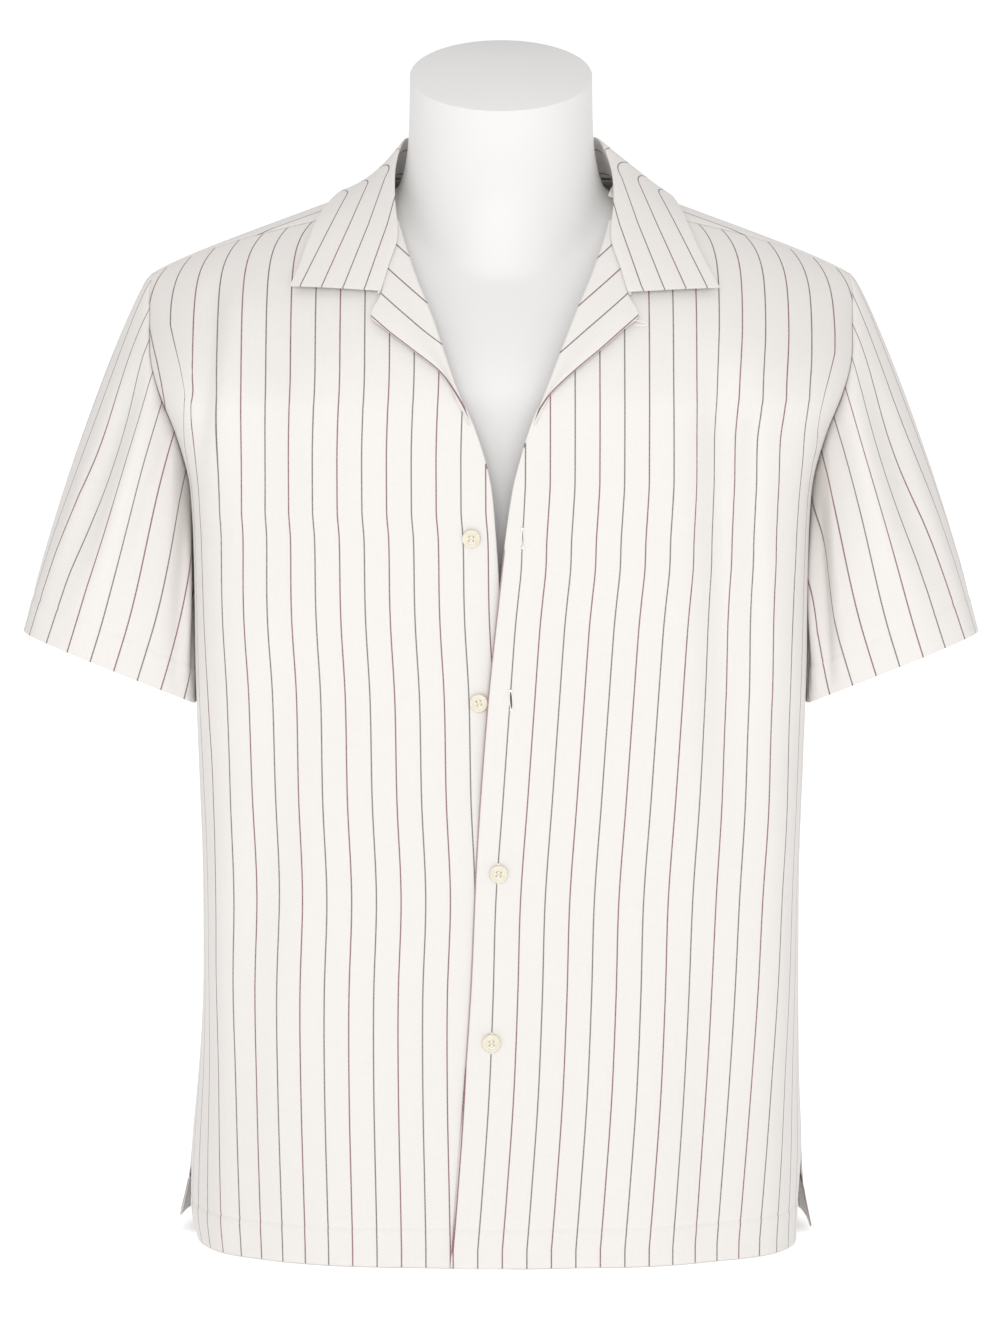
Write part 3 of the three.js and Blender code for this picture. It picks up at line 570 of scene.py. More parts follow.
def buildCloth(name, sheets, settings):
    bm = bmesh.new()
    grain = bm.loops.layers.uv.new("grain")
    for sheet in sheets:
        down, wide = sheet["points"].shape[:2]
        grid = bmesh.ops.create_grid(bm, x_segments=wide - 1, y_segments=down - 1, size=0.5)
        places = sheet["points"].reshape(-1, 3) * 0.001
        places[:, 1] += body["middleShift"] * 0.001
        uvs = np.stack([sheet["across"].ravel(), sheet["along"].ravel()], -1) * 0.001
        order = {}
        for k, vert in enumerate(grid["verts"]):
            vert.co = places[k]
            order[vert] = uvs[k]
        for face in {face for vert in grid["verts"] for face in vert.link_faces}:
            for loop in face.loops:
                loop[grain].uv = order[loop.vert]
    bmesh.ops.remove_doubles(bm, verts=bm.verts, dist=2e-5)
    bmesh.ops.dissolve_degenerate(bm, edges=bm.edges, dist=1e-6)
    mesh = meshFrom(bm, name)
    mesh.shade_smooth()
    mesh.materials.append(settings["material"])
    piece = placed(name, mesh)
    solid = piece.modifiers.new("thickness", "SOLIDIFY")
    solid.thickness = settings["thick"] * 0.001
    solid.offset = -1
    solid.use_even_offset = False
    if "bevel" in settings:
        bevelEdges(piece, settings["bevel"])
    return piece


def dressNode(piece, node):
    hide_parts(node)
    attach(piece, "root")


def seamDip(distance, deep=0.7, wide=1.6):  # the cloth draws in beside a seam
    return -deep * np.exp(-((distance / wide) ** 2))


def evenSteps(low, high, size):
    return np.linspace(low, high, max(2, int(round((high - low) / size)) + 1))


# The two fronts, from the button edge and the roll line to the side seam and armhole.
fronts = {
    "hem": 1.4,
    "drawnIn": {"upper": 9.0, "lower": 4.0, "wide": 42, "top": 75},
    "edgeInset": {"deep": 1.8, "bottom": 585, "grows": 40},
    "step": 3.0,
    "upperRows": 56,
    "columns": 84,
    "creasedColumns": (0.78, 0.9, 45),
    "foldsCounted": 660,
    "thick": 0.55,
    "hemDeep": 27.0,
    "facingDeep": 34.0,
    "facingFold": 1.9,
    "fold": 1.4,
    "ventSlant": 5.0,
    "lapLift": 1.9,
    "lapEnds": (8.0, 62.0),
    "gape": {"deep": 2.2, "bottom": 285, "grown": 355, "fades": 510},
    "flat": (0.32, 0.78),
    "held": "hung",
    "restsOn": ["torso_form"],
}
frontEdges = table(
    "z upper lower",
    (2, -34.2, 5),
    (64, -29.7, 4),
    (190, -20.7, 2.2),
    (294, -15.9, 3.4),
    (398, -8.3, 0.6),
    (470, -0.7, -1.6),
    (513, 4.2, -4.4),
    (545, 9, -7.4),
    (567, 14.6, -12.5),
    (589, 21.5, -20),
    (619, 33, -32),
    (659, 49, -46),
    (687, 61.5, -58),
    (714, 72, -68),
    (727, 75.5, -72),
    (740, 77.5, -75),
)
# Where the middle of each front's cloth lies, at each height: the stripes sway with it.
grainSway = {
    "upper": table("z sway", (13.5, -16.1), (48.8, -13.3), (119, -8.4), (189, -5.5), (259, -3.5), (328.7, 1.4),
                   (398, 6.2), (446.7, 9.6), (467.5, 11.6), (488, 13.7), (509, 14.4), (529.6, 15.7), (550, 16.7),
                   (800, 16.7)),
    "lower": table("z sway", (13.5, -12.6), (48.8, -13.3), (119, -14.6), (189, -14.6), (259, -12.4),
                   (328.7, -15.2), (398, -16.5), (446.7, -19.2), (467.5, -19.9), (509, -20.5), (529.6, -21.9),
                   (800, -21.9)),
}
stripeStart = {"upper": 0.0, "lower": 5.5}
seamHeight = body["chestLine"] + body["shoulderSeamAngle"] / 90 * body["archLength"]


def lapLiftAt(run, z):
    gape = fronts["gape"]
    grown = smooth((z - gape["bottom"]) / (gape["grown"] - gape["bottom"]))
    more = gape["deep"] * grown * smooth((body["chestLine"] - z) / (body["chestLine"] - gape["fades"]))
    full, none = fronts["lapEnds"]
    return (fronts["lapLift"] + more) * (1 - smooth((run - full) / (none - full)))


def archEdgeRun(height, column):
    _, level, climb = archPlace("front", height)
    x = read(frontEdges, column, body["chestLine"])
    for _ in range(8):
        z = climbTo(x, climb)
        x = read(frontEdges, column, z)
    return runAtX("front", z, x / leaning(level))


def foldedLength(side, run, z):  # how much more cloth the folds take up, out from the middle
    grid = np.linspace(0, 1, 160)
    runs = run[..., None] * grid
    heights = np.broadcast_to(z[..., None], runs.shape)
    step = np.diff(runs, axis=-1)
    slope = np.diff(foldLift(side, runs, heights), axis=-1) / np.where(np.abs(step) < 1e-6, 1e-6, step)
    return np.sum(slope**2 / 2 * np.abs(step), axis=-1)


# Up at the chest the stripes run straight up, but for a bend out under the shoulder seam.
chest = {"start": 560, "grows": 80, "drop": 60, "dropFrom": 214, "dropGrows": 8, "bend": 13.5, "bendFades": 11.5}
# How far a stripe lies out from its place on the flat cloth there, and how that changes past a distance.
stripeOut = {"upper": (16.7, 0.056), "lower": (19.9, 0.0), "past": 110}
# A crease runs down from each shoulder to the armhole and swallows the cloth beside it.
crease = {
    "upper": {"at": 215, "drop": 18},
    "lower": {"at": 213.4, "drop": 0},
    "narrow": table("z left", (540, 3), (598, 3), (611, 5), (625, 8.3), (638, 12.5), (650, 16.4), (662, 17)),
}
# Where the lines beside the armhole lie further out than that: the middle ones, and the outermost one.
armholeLines = {"middle": (130, 28), "outer": (193, 13), "end": (222, 8)}
nearArmhole = {
    "upper": table("z middle outer", (402, 0, 0), (430, -0.6, 1.1), (456, -1.3, 2.8), (483, -2.0, 3.2),
                   (510, -2.2, 3.9), (537, -2.8, 4.4), (564, -3.2, 4.4), (591, -3.8, 1.6), (618, -3.4, 0.5),
                   (645, -2.0, 0.6), (672, -0.6, 0), (720, 0, 0)),
    "lower": table("z middle outer", (300, 0, 0), (348, 0, 2.0), (375, 0, 3.3), (402, 0, 3.7), (456, 0, 4.4),
                   (483, 0, 5.3), (510, 0, 6.1), (537, 0, 6.2), (564, 0, 6.4), (591, 0, 4.6), (618, 0, 0.3),
                   (640, 0, 0), (720, 0, 0)),
}
hemLine = {"dip": 0.3, "wide": 1.4, "step": 0.3, "stepLong": 3}
# The stripe that lies on the buttoned edge, below the open neck.
edgeStripe = {"place": 16.6, "most": 6, "top": 540, "grows": 40, "wide": 6}


def lowRows(piece):  # from the hem to the chest line, closer together where the hem's edge shows through
    rows = evenSteps(piece["hem"], body["chestLine"], piece["step"])
    return np.unique(np.concatenate([rows, piece["hem"] + piece["hemDeep"] + np.array([-4, -2, -1, 0, 1, 2])]))


def hemShape(z, line):
    dip = hemLine["dip"] * np.exp(-(((z - line) / hemLine["wide"]) ** 2))
    return hemLine["step"] * smooth((line - z) / hemLine["stepLong"]) - dip


def imageHeight(points):  # how high a point is seen from the front
    pitch = math.radians(viewpoint["pitch"])
    return points[..., 2] * math.cos(pitch) + points[..., 1] * math.sin(pitch)


def chestStripes(points, edge):  # the flat cloth's place for each point of the chest
    x = np.abs(points[..., 0])
    below = np.maximum(imageHeight(points[-1:]) - imageHeight(points), 0)
    bent = x + chest["bend"] * np.exp(-below / chest["bendFades"])
    out, slope = stripeOut[edge]
    place = bent - (out - slope * np.clip(bent - stripeOut["past"], 0, None))
    gap = np.interp(points[..., 2] + crease[edge]["drop"], crease["narrow"]["z"], crease["narrow"]["left"])
    far = bent - crease[edge]["at"]
    swallowed = np.where(far < gap, far * (stripeGap / gap - 1), stripeGap - gap)
    return place + np.where(far > 0, swallowed, 0)


def frontGrid(edge, sign):  # the height and the ends of every row from the hem to the shoulder seam
    rows = lowRows(fronts)
    up = np.linspace(0, 1, fronts["upperRows"])[1:, None]
    creased = np.linspace(*fronts["creasedColumns"])
    share = np.unique(np.concatenate([np.linspace(0, 1, fronts["columns"]), creased]))
    inset = fronts["edgeInset"]
    top = np.full(share.shape, seamHeight)
    for _ in range(3):
        ends = archEdgeRun(top, edge) + sign * inset["deep"], outerRun("front", top) * sign
        x = onBody("front", mix(*ends, share), top)[..., 0]
        top = body["chestLine"] + seamAngle(x) / 90 * body["archLength"]
    height = np.concatenate([
        np.broadcast_to(rows[:, None], (len(rows), len(share))),
        body["chestLine"] + (top - body["chestLine"]) * up,
    ])
    vent = np.clip((body["ventTop"] - height) / body["ventTop"], 0, 1)
    outer = (outerRun("front", height) - fronts["ventSlant"] * vent) * sign
    inner = np.where(height <= body["chestLine"], read(frontEdges, edge, height), archEdgeRun(height, edge))
    inner = inner + sign * inset["deep"] * smooth((height - inset["bottom"]) / inset["grows"])
    return height, top, inner, outer, share, len(rows)


def frontStripes(edge, sign, points, run, inner, height):  # the place of each point across the flat cloth
    across = sign * (run + sign * foldedLength("front", run, np.minimum(height, fronts["foldsCounted"])))
    across = across - sign * read(grainSway[edge], "sway", height)
    x = np.abs(points[..., 0])
    beside = chest["drop"] * smooth((x - chest["dropFrom"]) / chest["dropGrows"])
    onChest = smooth((height - chest["start"] + beside) / chest["grows"])
    across = mix(across, chestStripes(points, edge), onChest)
    nudge = 0
    for column in ("middle", "outer"):
        start, grows = armholeLines[column]
        nudge = nudge + read(nearArmhole[edge], column, height) * smooth((x - start) / grows)
    end, fades = armholeLines["end"]
    across = across - nudge * smooth((end - x) / fades)
    if edge == "upper":
        spare = np.clip(across[:, :1] + edgeStripe["place"], 0, edgeStripe["most"])
        spare = spare * smooth((edgeStripe["top"] - height[:, :1]) / edgeStripe["grows"])
        across = across - spare * np.exp(-((np.abs(run - inner) / edgeStripe["wide"]) ** 2))
    return across - stripeStart[edge]


def buildFront(name, edge):
    sign = 1 if edge == "upper" else -1
    height, top, inner, outer, share, straightRows = frontGrid(edge, sign)
    run = mix(inner, outer, share)
    dip = seamDip(np.abs(run - outer)) * (height > body["ventTop"]) + seamDip((top - height) * 0.8)
    drawn = fronts["drawnIn"]
    side = np.exp(-(((arcLength("front", height) - np.abs(run)) / drawn["wide"]) ** 2))
    side = side * smooth((drawn["top"] - height) / drawn["top"])
    lift = dip + hemShape(height, fronts["hem"] + fronts["hemDeep"]) - drawn[edge] * side
    lift = lift + (lapLiftAt(run, height) if edge == "upper" else 0)
    points = onBody("front", run, height, lift)
    sheet = sheetOf(points, frontStripes(edge, sign, points, run, inner, height), height, sign)
    button = "left" if edge == "upper" else "right"
    straight = {key: value[:straightRows] for key, value in sheet.items()}
    facing = turnUnder(straight, button, fronts["facingDeep"], fronts["facingFold"])
    hem = turnUnder(sheet, "bottom", fronts["hemDeep"], fronts["fold"])
    return buildCloth(name, [sheet, facing, hem], fronts)


fronts["material"] = clothMaterial()
dressNode(buildFront("frontLeft", "upper"), "front_left")
dressNode(buildFront("frontRight", "lower"), "front_right")
print("fronts made")

# The back below the yoke.
backPanel = {
    "hem": 11.6,
    "step": 3.2,
    "thick": 0.55,
    "hemDeep": 27.0,
    "fold": 1.4,
    "flare": 5.0,
    "corner": {"deep": 8.0, "top": 90, "long": 76},
    "stripe": 4.0,
    "foldsEnd": 40,
    "columns": 190,
    "flat": (0.66, 0.66),
    "held": "hung",
    "restsOn": ["torso_form"],
    "material": fronts["material"],
}


def buildBack():
    upperRows = evenSteps(body["chestLine"], body["yokeSeam"], backPanel["step"])[1:]
    heights = np.concatenate([lowRows(backPanel), upperRows])[:, None]
    share = np.linspace(1, -1, backPanel["columns"])
    outer = np.where(heights <= body["underarm"], arcLength("back", heights), armholeRun("back", heights))
    run = share * outer
    z = np.broadcast_to(heights, run.shape)
    side = seamDip(np.abs(outer - np.abs(run))) * (z > body["ventTop"])
    flare = backPanel["flare"] * smooth((body["ventTop"] - z) / body["ventTop"]) * np.abs(share) ** 8
    hemmed = hemShape(z, backPanel["hem"] + backPanel["hemDeep"])
    below = onBody("back", run, np.minimum(z, body["chestLine"]), flare + side + hemmed)
    # the corner on the wearer's left hangs lower
    corner = backPanel["corner"]
    below[..., 2] -= corner["deep"] * smooth((corner["top"] - z) / corner["long"]) * np.clip(share, 0, 1) ** 10
    flat = alongArc("back", z, run)[0]
    x = flat
    for _ in range(4):
        x = flat * leaning(archShares("back", angleAt(x, z, "back"))[0])
    folds = smooth((body["yokeSeam"] - z) / backPanel["foldsEnd"]) * foldLift("back", run, z)
    above = onArch(x, angleAt(x, z, "back"), folds + (seamDip(body["yokeSeam"] - z) + side))
    points = np.where((heights <= body["chestLine"])[..., None], below, above)
    across = np.sign(run) * (np.abs(run) + foldedLength("back", np.abs(run), z))
    sheet = sheetOf(points, across + backPanel["stripe"], z)
    hem = turnUnder(sheet, "bottom", backPanel["hemDeep"], backPanel["fold"])
    return buildCloth("backPanel", [sheet, hem], backPanel)


dressNode(buildBack(), "back")
print("back made")

# The yoke comes over both shoulders. Its stripes lie across the body, and on the back they bend towards its seam.
yokes = {
    "steps": (150, 46),
    "corner": 6 / 14,
    "seat": 0.25,
    "thick": 0.55,
    "stripe": 13.5,
    "guideX": 150.0,
    "guideAngles": (60, 150, 361),
    "levels": (88, 30),
    "sideEnds": (85, 130),
    "flat": (0.52, 0.2),
    "area": 0.062,
    "held": "laid",
    "restsOn": ["torso_form"],
    "material": fronts["material"],
}
yokeNeckline = table(
    "along x angle",
    (0, 74.5, 72.3),
    (0.25, 79, 88),
    (0.5, 72, 104),
    (0.75, 42, 119),
    (1, 0, 124),
)


def armholeOnArch(angle):
    angle = np.asarray(angle, float)
    found = {}
    for side in ("front", "back"):
        level, climb = archShares(side, angle)
        z = climbTo(body["shoulderTip"], climb)
        found[side] = alongArc(side, z, armholeRun(side, z))[0] * leaning(level)
    return np.where(angle < 90, found["front"], found["back"])


def yokeOuter(along):
    front, back = (armholeOnArch(angle) for angle in yokes["sideEnds"])
    start = seamAngle(front)
    corner = yokes["corner"]
    cornerAngle = angleAt(back, body["yokeSeam"], "back")
    angle = mix(start, cornerAngle, np.minimum(along / corner, 1))
    x = np.where(along <= corner, armholeOnArch(angle),
                 mix(armholeOnArch(cornerAngle), 0, (along - corner) / (1 - corner)))
    return x, np.where(along <= corner, angle, angleAt(x, body["yokeSeam"], "back"))


def buildYoke():
    half, across = yokes["steps"]
    along = np.concatenate([np.linspace(0, 1, half), np.linspace(1, 0, half)[1:]])
    sign = np.concatenate([np.full(half - 1, 1.0), [0.0], np.full(half - 1, -1.0)])
    neckX, neckAngle = (read(yokeNeckline, c, along, "along") for c in ("x", "angle"))
    outerX, outerAngle = yokeOuter(along)
    share = np.linspace(0, 1, across)
    x = mix(neckX[:, None], outerX[:, None], share)
    angle = mix(neckAngle[:, None], outerAngle[:, None], share)
    straight = mix(neckAngle[0], outerAngle[0], share)
    angle = angle + (seamAngle(x[:1]) - straight) * (1 - np.minimum(along / yokes["corner"], 1)[:, None]) ** 2
    rough = onArch(x, angle, 0)
    fromEnd, length = lengthAlong(rough), lengthAlong(rough, 1)
    fromEnd = np.minimum(fromEnd, fromEnd[-1] - fromEnd)
    points = onArch(x, angle, seamDip(fromEnd) + seamDip(length[:, -1:] - length) + yokes["seat"])
    points[..., 0] *= sign[:, None]
    # the grain: how far each point lies behind the front seam, over the shoulder
    guide = np.linspace(*yokes["guideAngles"])
    far = lengthAlong(onArch(yokes["guideX"], guide, 0))
    behind = np.interp(angle, guide, far) - np.interp(body["shoulderSeamAngle"], guide, far)
    start, grows = yokes["levels"]
    seam, here = (
        np.interp(angleAt(at, body["yokeSeam"], "back"), guide, far) for at in (yokes["guideX"], np.abs(x))
    )
    behind = behind + (seam - here) * smooth((angle - start) / grows)
    return buildCloth("yokePanel", [sheetOf(points, behind - yokes["stripe"], points[..., 0])], yokes)


dressNode(buildYoke(), "yoke")
print("yoke made")

# The sleeves, set into the armholes and falling to their hems.
sleeves = {
    "steps": (120, 168),
    "bulge": 11.0,
    "thick": 0.55,
    "hemDeep": 25.0,
    "fold": 1.4,
    "creased": 1.35,
    "sunk": 0.6,
    "full": {"deep": 1.2, "grows": 12, "fades": 0.2},
    "flat": (0.46, 0.3),
    "area": 0.1,
    "held": "hung",
    "restsOn": ["front_left", "front_right"],
    "material": fronts["material"],
}
cuff = {
    "x": 275.4,
    "y": -7.0,
    "z": 407.0,
    "wide": 63.0,
    "deep": 57.0,
    "square": {"outer": 2.8, "inner": 9.0},
    "inner": 67.6,
    "slope": 22.0,
    "tip": 5.0,
    "lean": 17.4,
    "length": 230.0,
    "eased": {"wide": 9.0, "bottom": 430, "grows": 140, "near": 45},
    "start": {1: 3.0, -1: 12.0},
    "spread": 0.97,
}
sleeveFolds = table(
    "turn start end wide deep",
    (0.16, 0.02, 0.8, 0.04, -3.4),
    (0.3, 0.04, 1.1, 0.04, -3.5),
    (0.23, 0.1, 1.2, 0.045, 3.5),
    (0.68, 0.05, 0.9, 0.04, -4.5),
    (0.8, 0.08, 1.2, 0.05, 3.5),
)
creaseColumns = "turn drift start end wide deep"
sleeveCreases = {
    -1: table(
        creaseColumns,
        (0.15, -0.02, 0.0, 0.55, 0.034, -3.4),
        (0.2, 0.02, 0.05, 0.75, 0.026, 3.2),
        (0.12, -0.03, 0.2, 1.2, 0.03, 2.0),
        (0.33, 0.0, 0.12, 0.95, 0.03, 3.4),
        (0.38, 0.02, 0.1, 0.9, 0.022, -3.4),
        (0.26, -0.02, 0.25, 1.05, 0.024, -1.8),
        (0.6, 0.02, 0.02, 0.5, 0.022, -2.2),
        (0.57, 0.0, 0.2, 1.2, 0.03, 1.6),
        (0.74, -0.02, 0.25, 1.2, 0.028, -1.8),
        (0.9, 0.02, 0.3, 1.3, 0.035, 1.6),
    ),
    1: table(
        creaseColumns,
        (0.14, -0.02, 0.0, 0.6, 0.034, -2.4),
        (0.21, 0.03, 0.0, 0.7, 0.03, 3.6),
        (0.28, 0.02, 0.1, 1.1, 0.024, -2.6),
        (0.35, 0.01, 0.05, 0.8, 0.028, 3.6),
        (0.41, 0.0, 0.1, 0.95, 0.022, -3.2),
        (0.11, -0.02, 0.3, 1.2, 0.03, 1.8),
        (0.61, 0.01, 0.02, 0.6, 0.024, -2.6),
        (0.66, -0.01, 0.2, 1.1, 0.03, 2.0),
        (0.77, 0.02, 0.2, 1.2, 0.026, -2.0),
        (0.88, -0.02, 0.3, 1.3, 0.035, 1.4),
    ),
}


def armholeHoop(count):  # from the ridge down the front, under the arm and up the back to the ridge
    halves = []
    height = mix(body["chestLine"] + body["archLength"], body["underarm"], np.linspace(0, 1, 500) ** 0.8)
    for side in ("front", "back"):
        angle = archPlace(side, height)[0]
        angle = np.minimum(angle, 89.999) if side == "front" else 180 - angle
        high = onArch(armholeOnArch(angle), angle, 0)
        below = np.minimum(height, body["chestLine"])
        low = onBody(side, armholeRun(side, below), below)
        line = np.where((height > body["chestLine"])[:, None], high, low)
        far = lengthAlong(line)
        even = np.linspace(0, far[-1], count // 2 + 1)
        halves.append(np.stack([np.interp(even, far, line[:, k]) for k in range(3)], -1))
    down, up = halves[0], halves[1][::-1]
    return np.concatenate([down, up[1:]])


def buildSleeve(name, sign):
    rows, sides = sleeves["steps"]
    hoop = armholeHoop(sides)
    middle = hoop[:-1].mean(axis=0)
    slope, tip, lean = (math.radians(cuff[key]) for key in ("slope", "tip", "lean"))
    cuffMiddle = np.array([cuff["x"], cuff["y"], cuff["z"]])
    wide = np.array([math.cos(slope), 0, math.sin(slope)])
    deep = np.array([0, -math.cos(tip), math.sin(tip)])
    # from the underarm forward over the top and round to the underarm again
    index = (np.arange(sides + 1) + sides // 2) % sides
    turn = index / sides
    angle = turn * 2 * math.pi
    w = np.linspace(0, 1, rows)[:, None]
    inner = np.cos(angle) < 0
    power = 2 / np.where(inner, cuff["square"]["inner"], cuff["square"]["outer"])
    ring = [np.sign(part) * np.abs(part) ** power for part in (np.cos(angle), np.sin(angle))]
    reach = np.where(inner, cuff["inner"], cuff["wide"])
    target = cuffMiddle + np.outer(ring[0] * reach, wide) + np.outer(ring[1], deep) * cuff["deep"]
    begin = hoop[index].copy()
    begin[:, 0] -= sleeves["sunk"]
    points = mix(begin[None], target[None], w[..., None])
    axis = mix(middle, cuffMiddle, w[..., None])
    out = points - axis
    out /= np.linalg.norm(out, axis=2, keepdims=True)
    outside = smooth((np.cos(angle) + 1) / 1.2)
    push = sleeves["bulge"] * np.sin(np.pi * w**0.6) * outside
    for rowsOf in (sleeveFolds, sleeveCreases[sign]):
        for k in range(len(rowsOf["turn"])):
            fold = {name: column[k] for name, column in rowsOf.items()}
            down = np.clip((w - fold["start"]) / (fold["end"] - fold["start"]), 0, 1)
            off = (turn - fold["turn"] - fold.get("drift", 0) * down) / fold["wide"]
            push = push + sleeves["creased"] * fold["deep"] * np.exp(-off * off) * np.sin(np.pi * down)
    full = sleeves["full"]
    fading = 1 - smooth((w - 1 + full["fades"]) / full["fades"])
    push = push + full["deep"] * smooth(w * cuff["length"] / full["grows"]) * fading
    fromCuff = (1 - w) * np.linalg.norm(target - begin, axis=1)
    push = push + hemShape(fromCuff, sleeves["hemDeep"])
    points = points + out * push[..., None]
    # the grain runs down the sleeve: the cloth's width is measured square to it
    grainWay = np.array([math.cos(lean), 0, math.sin(lean)])
    down = np.array([math.sin(lean), 0, -math.cos(lean)])
    offset = points - cuffMiddle
    beside = offset @ grainWay
    step = np.hypot(np.diff(beside, axis=1), np.diff(offset[..., 1], axis=1))
    around = np.concatenate([0 * step[:, :1], np.cumsum(step, axis=1)], axis=1)
    front = int(np.argmin(np.abs(turn - 0.25)))
    across = beside[:, front:front + 1] - (around - around[:, front:front + 1])
    eased = cuff["eased"]
    easing = smooth((points[..., 2] - eased["bottom"]) / eased["grows"])
    easing = easing * smooth((eased["near"] - across) / eased["near"])
    across = (across - eased["wide"] * easing - cuff["start"][sign]) * cuff["spread"]
    points[..., 0] *= sign
    sheet = sheetOf(points[::-1], across[::-1], (offset @ down)[::-1], -sign)
    hem = turnUnder(sheet, "bottom", sleeves["hemDeep"], sleeves["fold"])
    return buildCloth(name, [sheet, hem], sleeves)


dressNode(buildSleeve("sleeveLeft", 1), "sleeve_left")
dressNode(buildSleeve("sleeveRight", -1), "sleeve_right")
print("sleeves made")

# The collar stands up from the neckline, folds over and falls to its outer edge.
collars = {
    "steps": (130, 14, 34),
    "seat": {"back": 0.8, "front": 3.0, "from": 0.74, "grows": 0.15},
    "turn": 1.4,
    "foldFront": (0.42, 0.36),
    "shoulder": (0.56, 0.12),
    "tip": (0.75, 0.25),
    "puff": {"left": 4.0, "right": -1.5, "at": 0.5, "wide": 0.16},
    "round": 10,
    "slant": 0.47,
    "start": 59.0,
    "frontStripes": (0.5, 0.16),
    "apart": {"high": (0, 44, 78), "wide": (15.1, 13.1, 10.6)},
    "halfLength": 230,
    "thick": 1.3,
    "bevel": 0.45,
    "flat": (0.44, 0.085),
    "held": "folded",
    "restsOn": ["front_left", "front_right", "yoke"],
    "material": fronts["material"],
}
collarSections = table(
    "along seamX seam foldX fold rise edgeX edge lift",
    (0, 0, 123.5, 0, 118.5, 29, 0, 134, 3.5),
    (0.2, 40, 119.5, 38, 114.5, 29, 52, 131, 3.5),
    (0.38, 66, 107.5, 61, 103.5, 28.5, 91, 120, 4),
    (0.52, 77.5, 92, 67.5, 92, 23.5, 114, 100, 4),
    (0.65, 79, 80, 72, 80, 12, 123, 80, 4),
    (0.76, 76.5, 66, 72.3, 66, 5.5, 130, 64, 6),
    (0.88, 73.5, 51, 70.5, 51.5, 4.6, 138, 52, 5.5),
    (0.94, 78.5, 43.5, 76.3, 44, 4.6, 142, 47.5, 5.5),
    (1, 84, 36, 81.8, 36.5, 4.6, 146, 43.5, 5.5),
)
# Each side differs a little: how far out the fold lies, the outer edge at the shoulder and at the tip, and the place
# that the stripes are counted from.
collarSides = {
    -1: {"fold": 0.0, "shoulder": -8.0, "tip": -1.5, "first": 138.4},
    1: {"fold": 4.6, "shoulder": -1.0, "tip": 3.5, "first": 141.7},
}


def buildCollar():
    half, stand, fall = collars["steps"]
    around = np.linspace(-1, 1, 2 * half + 1)[None, :]
    along, sign = np.abs(around), np.sign(around)
    value = {c: read(collarSections, c, along, "along") for c in collarSections if c != "along"}
    own = {key: np.where(sign < 0, collarSides[-1][key], collarSides[1][key]) for key in collarSides[1]}
    grown = {
        key: smooth((along - collars[key][0]) / collars[key][1]) for key in ("foldFront", "tip", "frontStripes")
    }
    value["foldX"] = value["foldX"] + own["fold"] * grown["foldFront"]
    value["seamX"] = value["seamX"] + own["fold"] * grown["foldFront"]
    at, wide = collars["shoulder"]
    shoulder = np.exp(-(((along - at) / wide) ** 2))
    value["edgeX"] = value["edgeX"] + own["shoulder"] * shoulder + own["tip"] * grown["tip"]
    up = np.linspace(0, 1, stand)[:, None]
    seat = collars["seat"]
    seat = mix(seat["back"], seat["front"], smooth((along - seat["from"]) / seat["grows"]))
    lift = mix(seat, value["rise"], up**1.1)
    standing = onArch(mix(value["seamX"], value["foldX"], up), mix(value["seam"], value["fold"], up), lift)
    out = np.linspace(0, 1, fall)[:, None]
    puffs = collars["puff"]
    near = np.exp(-(((along - puffs["at"]) / puffs["wide"]) ** 2))
    puff = np.where(sign < 0, puffs["right"], puffs["left"]) * np.sin(np.pi * out) * near
    lift = mix(value["rise"], value["lift"], 1 - (1 - out) ** 1.7) + puff + collars["turn"]
    falling = onArch(mix(value["foldX"], value["edgeX"], out), mix(value["fold"], value["edge"], out**1.1), lift)
    points = np.concatenate([standing, falling])
    for _ in range(collars["round"]):
        points[1:-1] = (points[:-2] + 2 * points[1:-1] + points[2:]) / 4
    far = lengthAlong(points)
    fromFold = far - far[stand]
    points[..., 0] *= sign
    # from the front the stripes run straight up from the collar's front edge, and close in a little
    high = imageHeight(points) - imageHeight(points[-1:, -1:])
    first = own["first"] - collars["slant"] * high
    apart = np.interp(high, collars["apart"]["high"], collars["apart"]["wide"])
    seen = stripeGap * (first - np.abs(points[..., 0])) / apart
    seen[:stand] = seen[stand] - fromFold[:stand]
    across = mix(collars["start"] - fromFold, seen, grown["frontStripes"])
    return buildCloth("collarCloth", [sheetOf(points, across, around * collars["halfLength"])], collars)


dressNode(buildCollar(), "collar")
print("collar made")

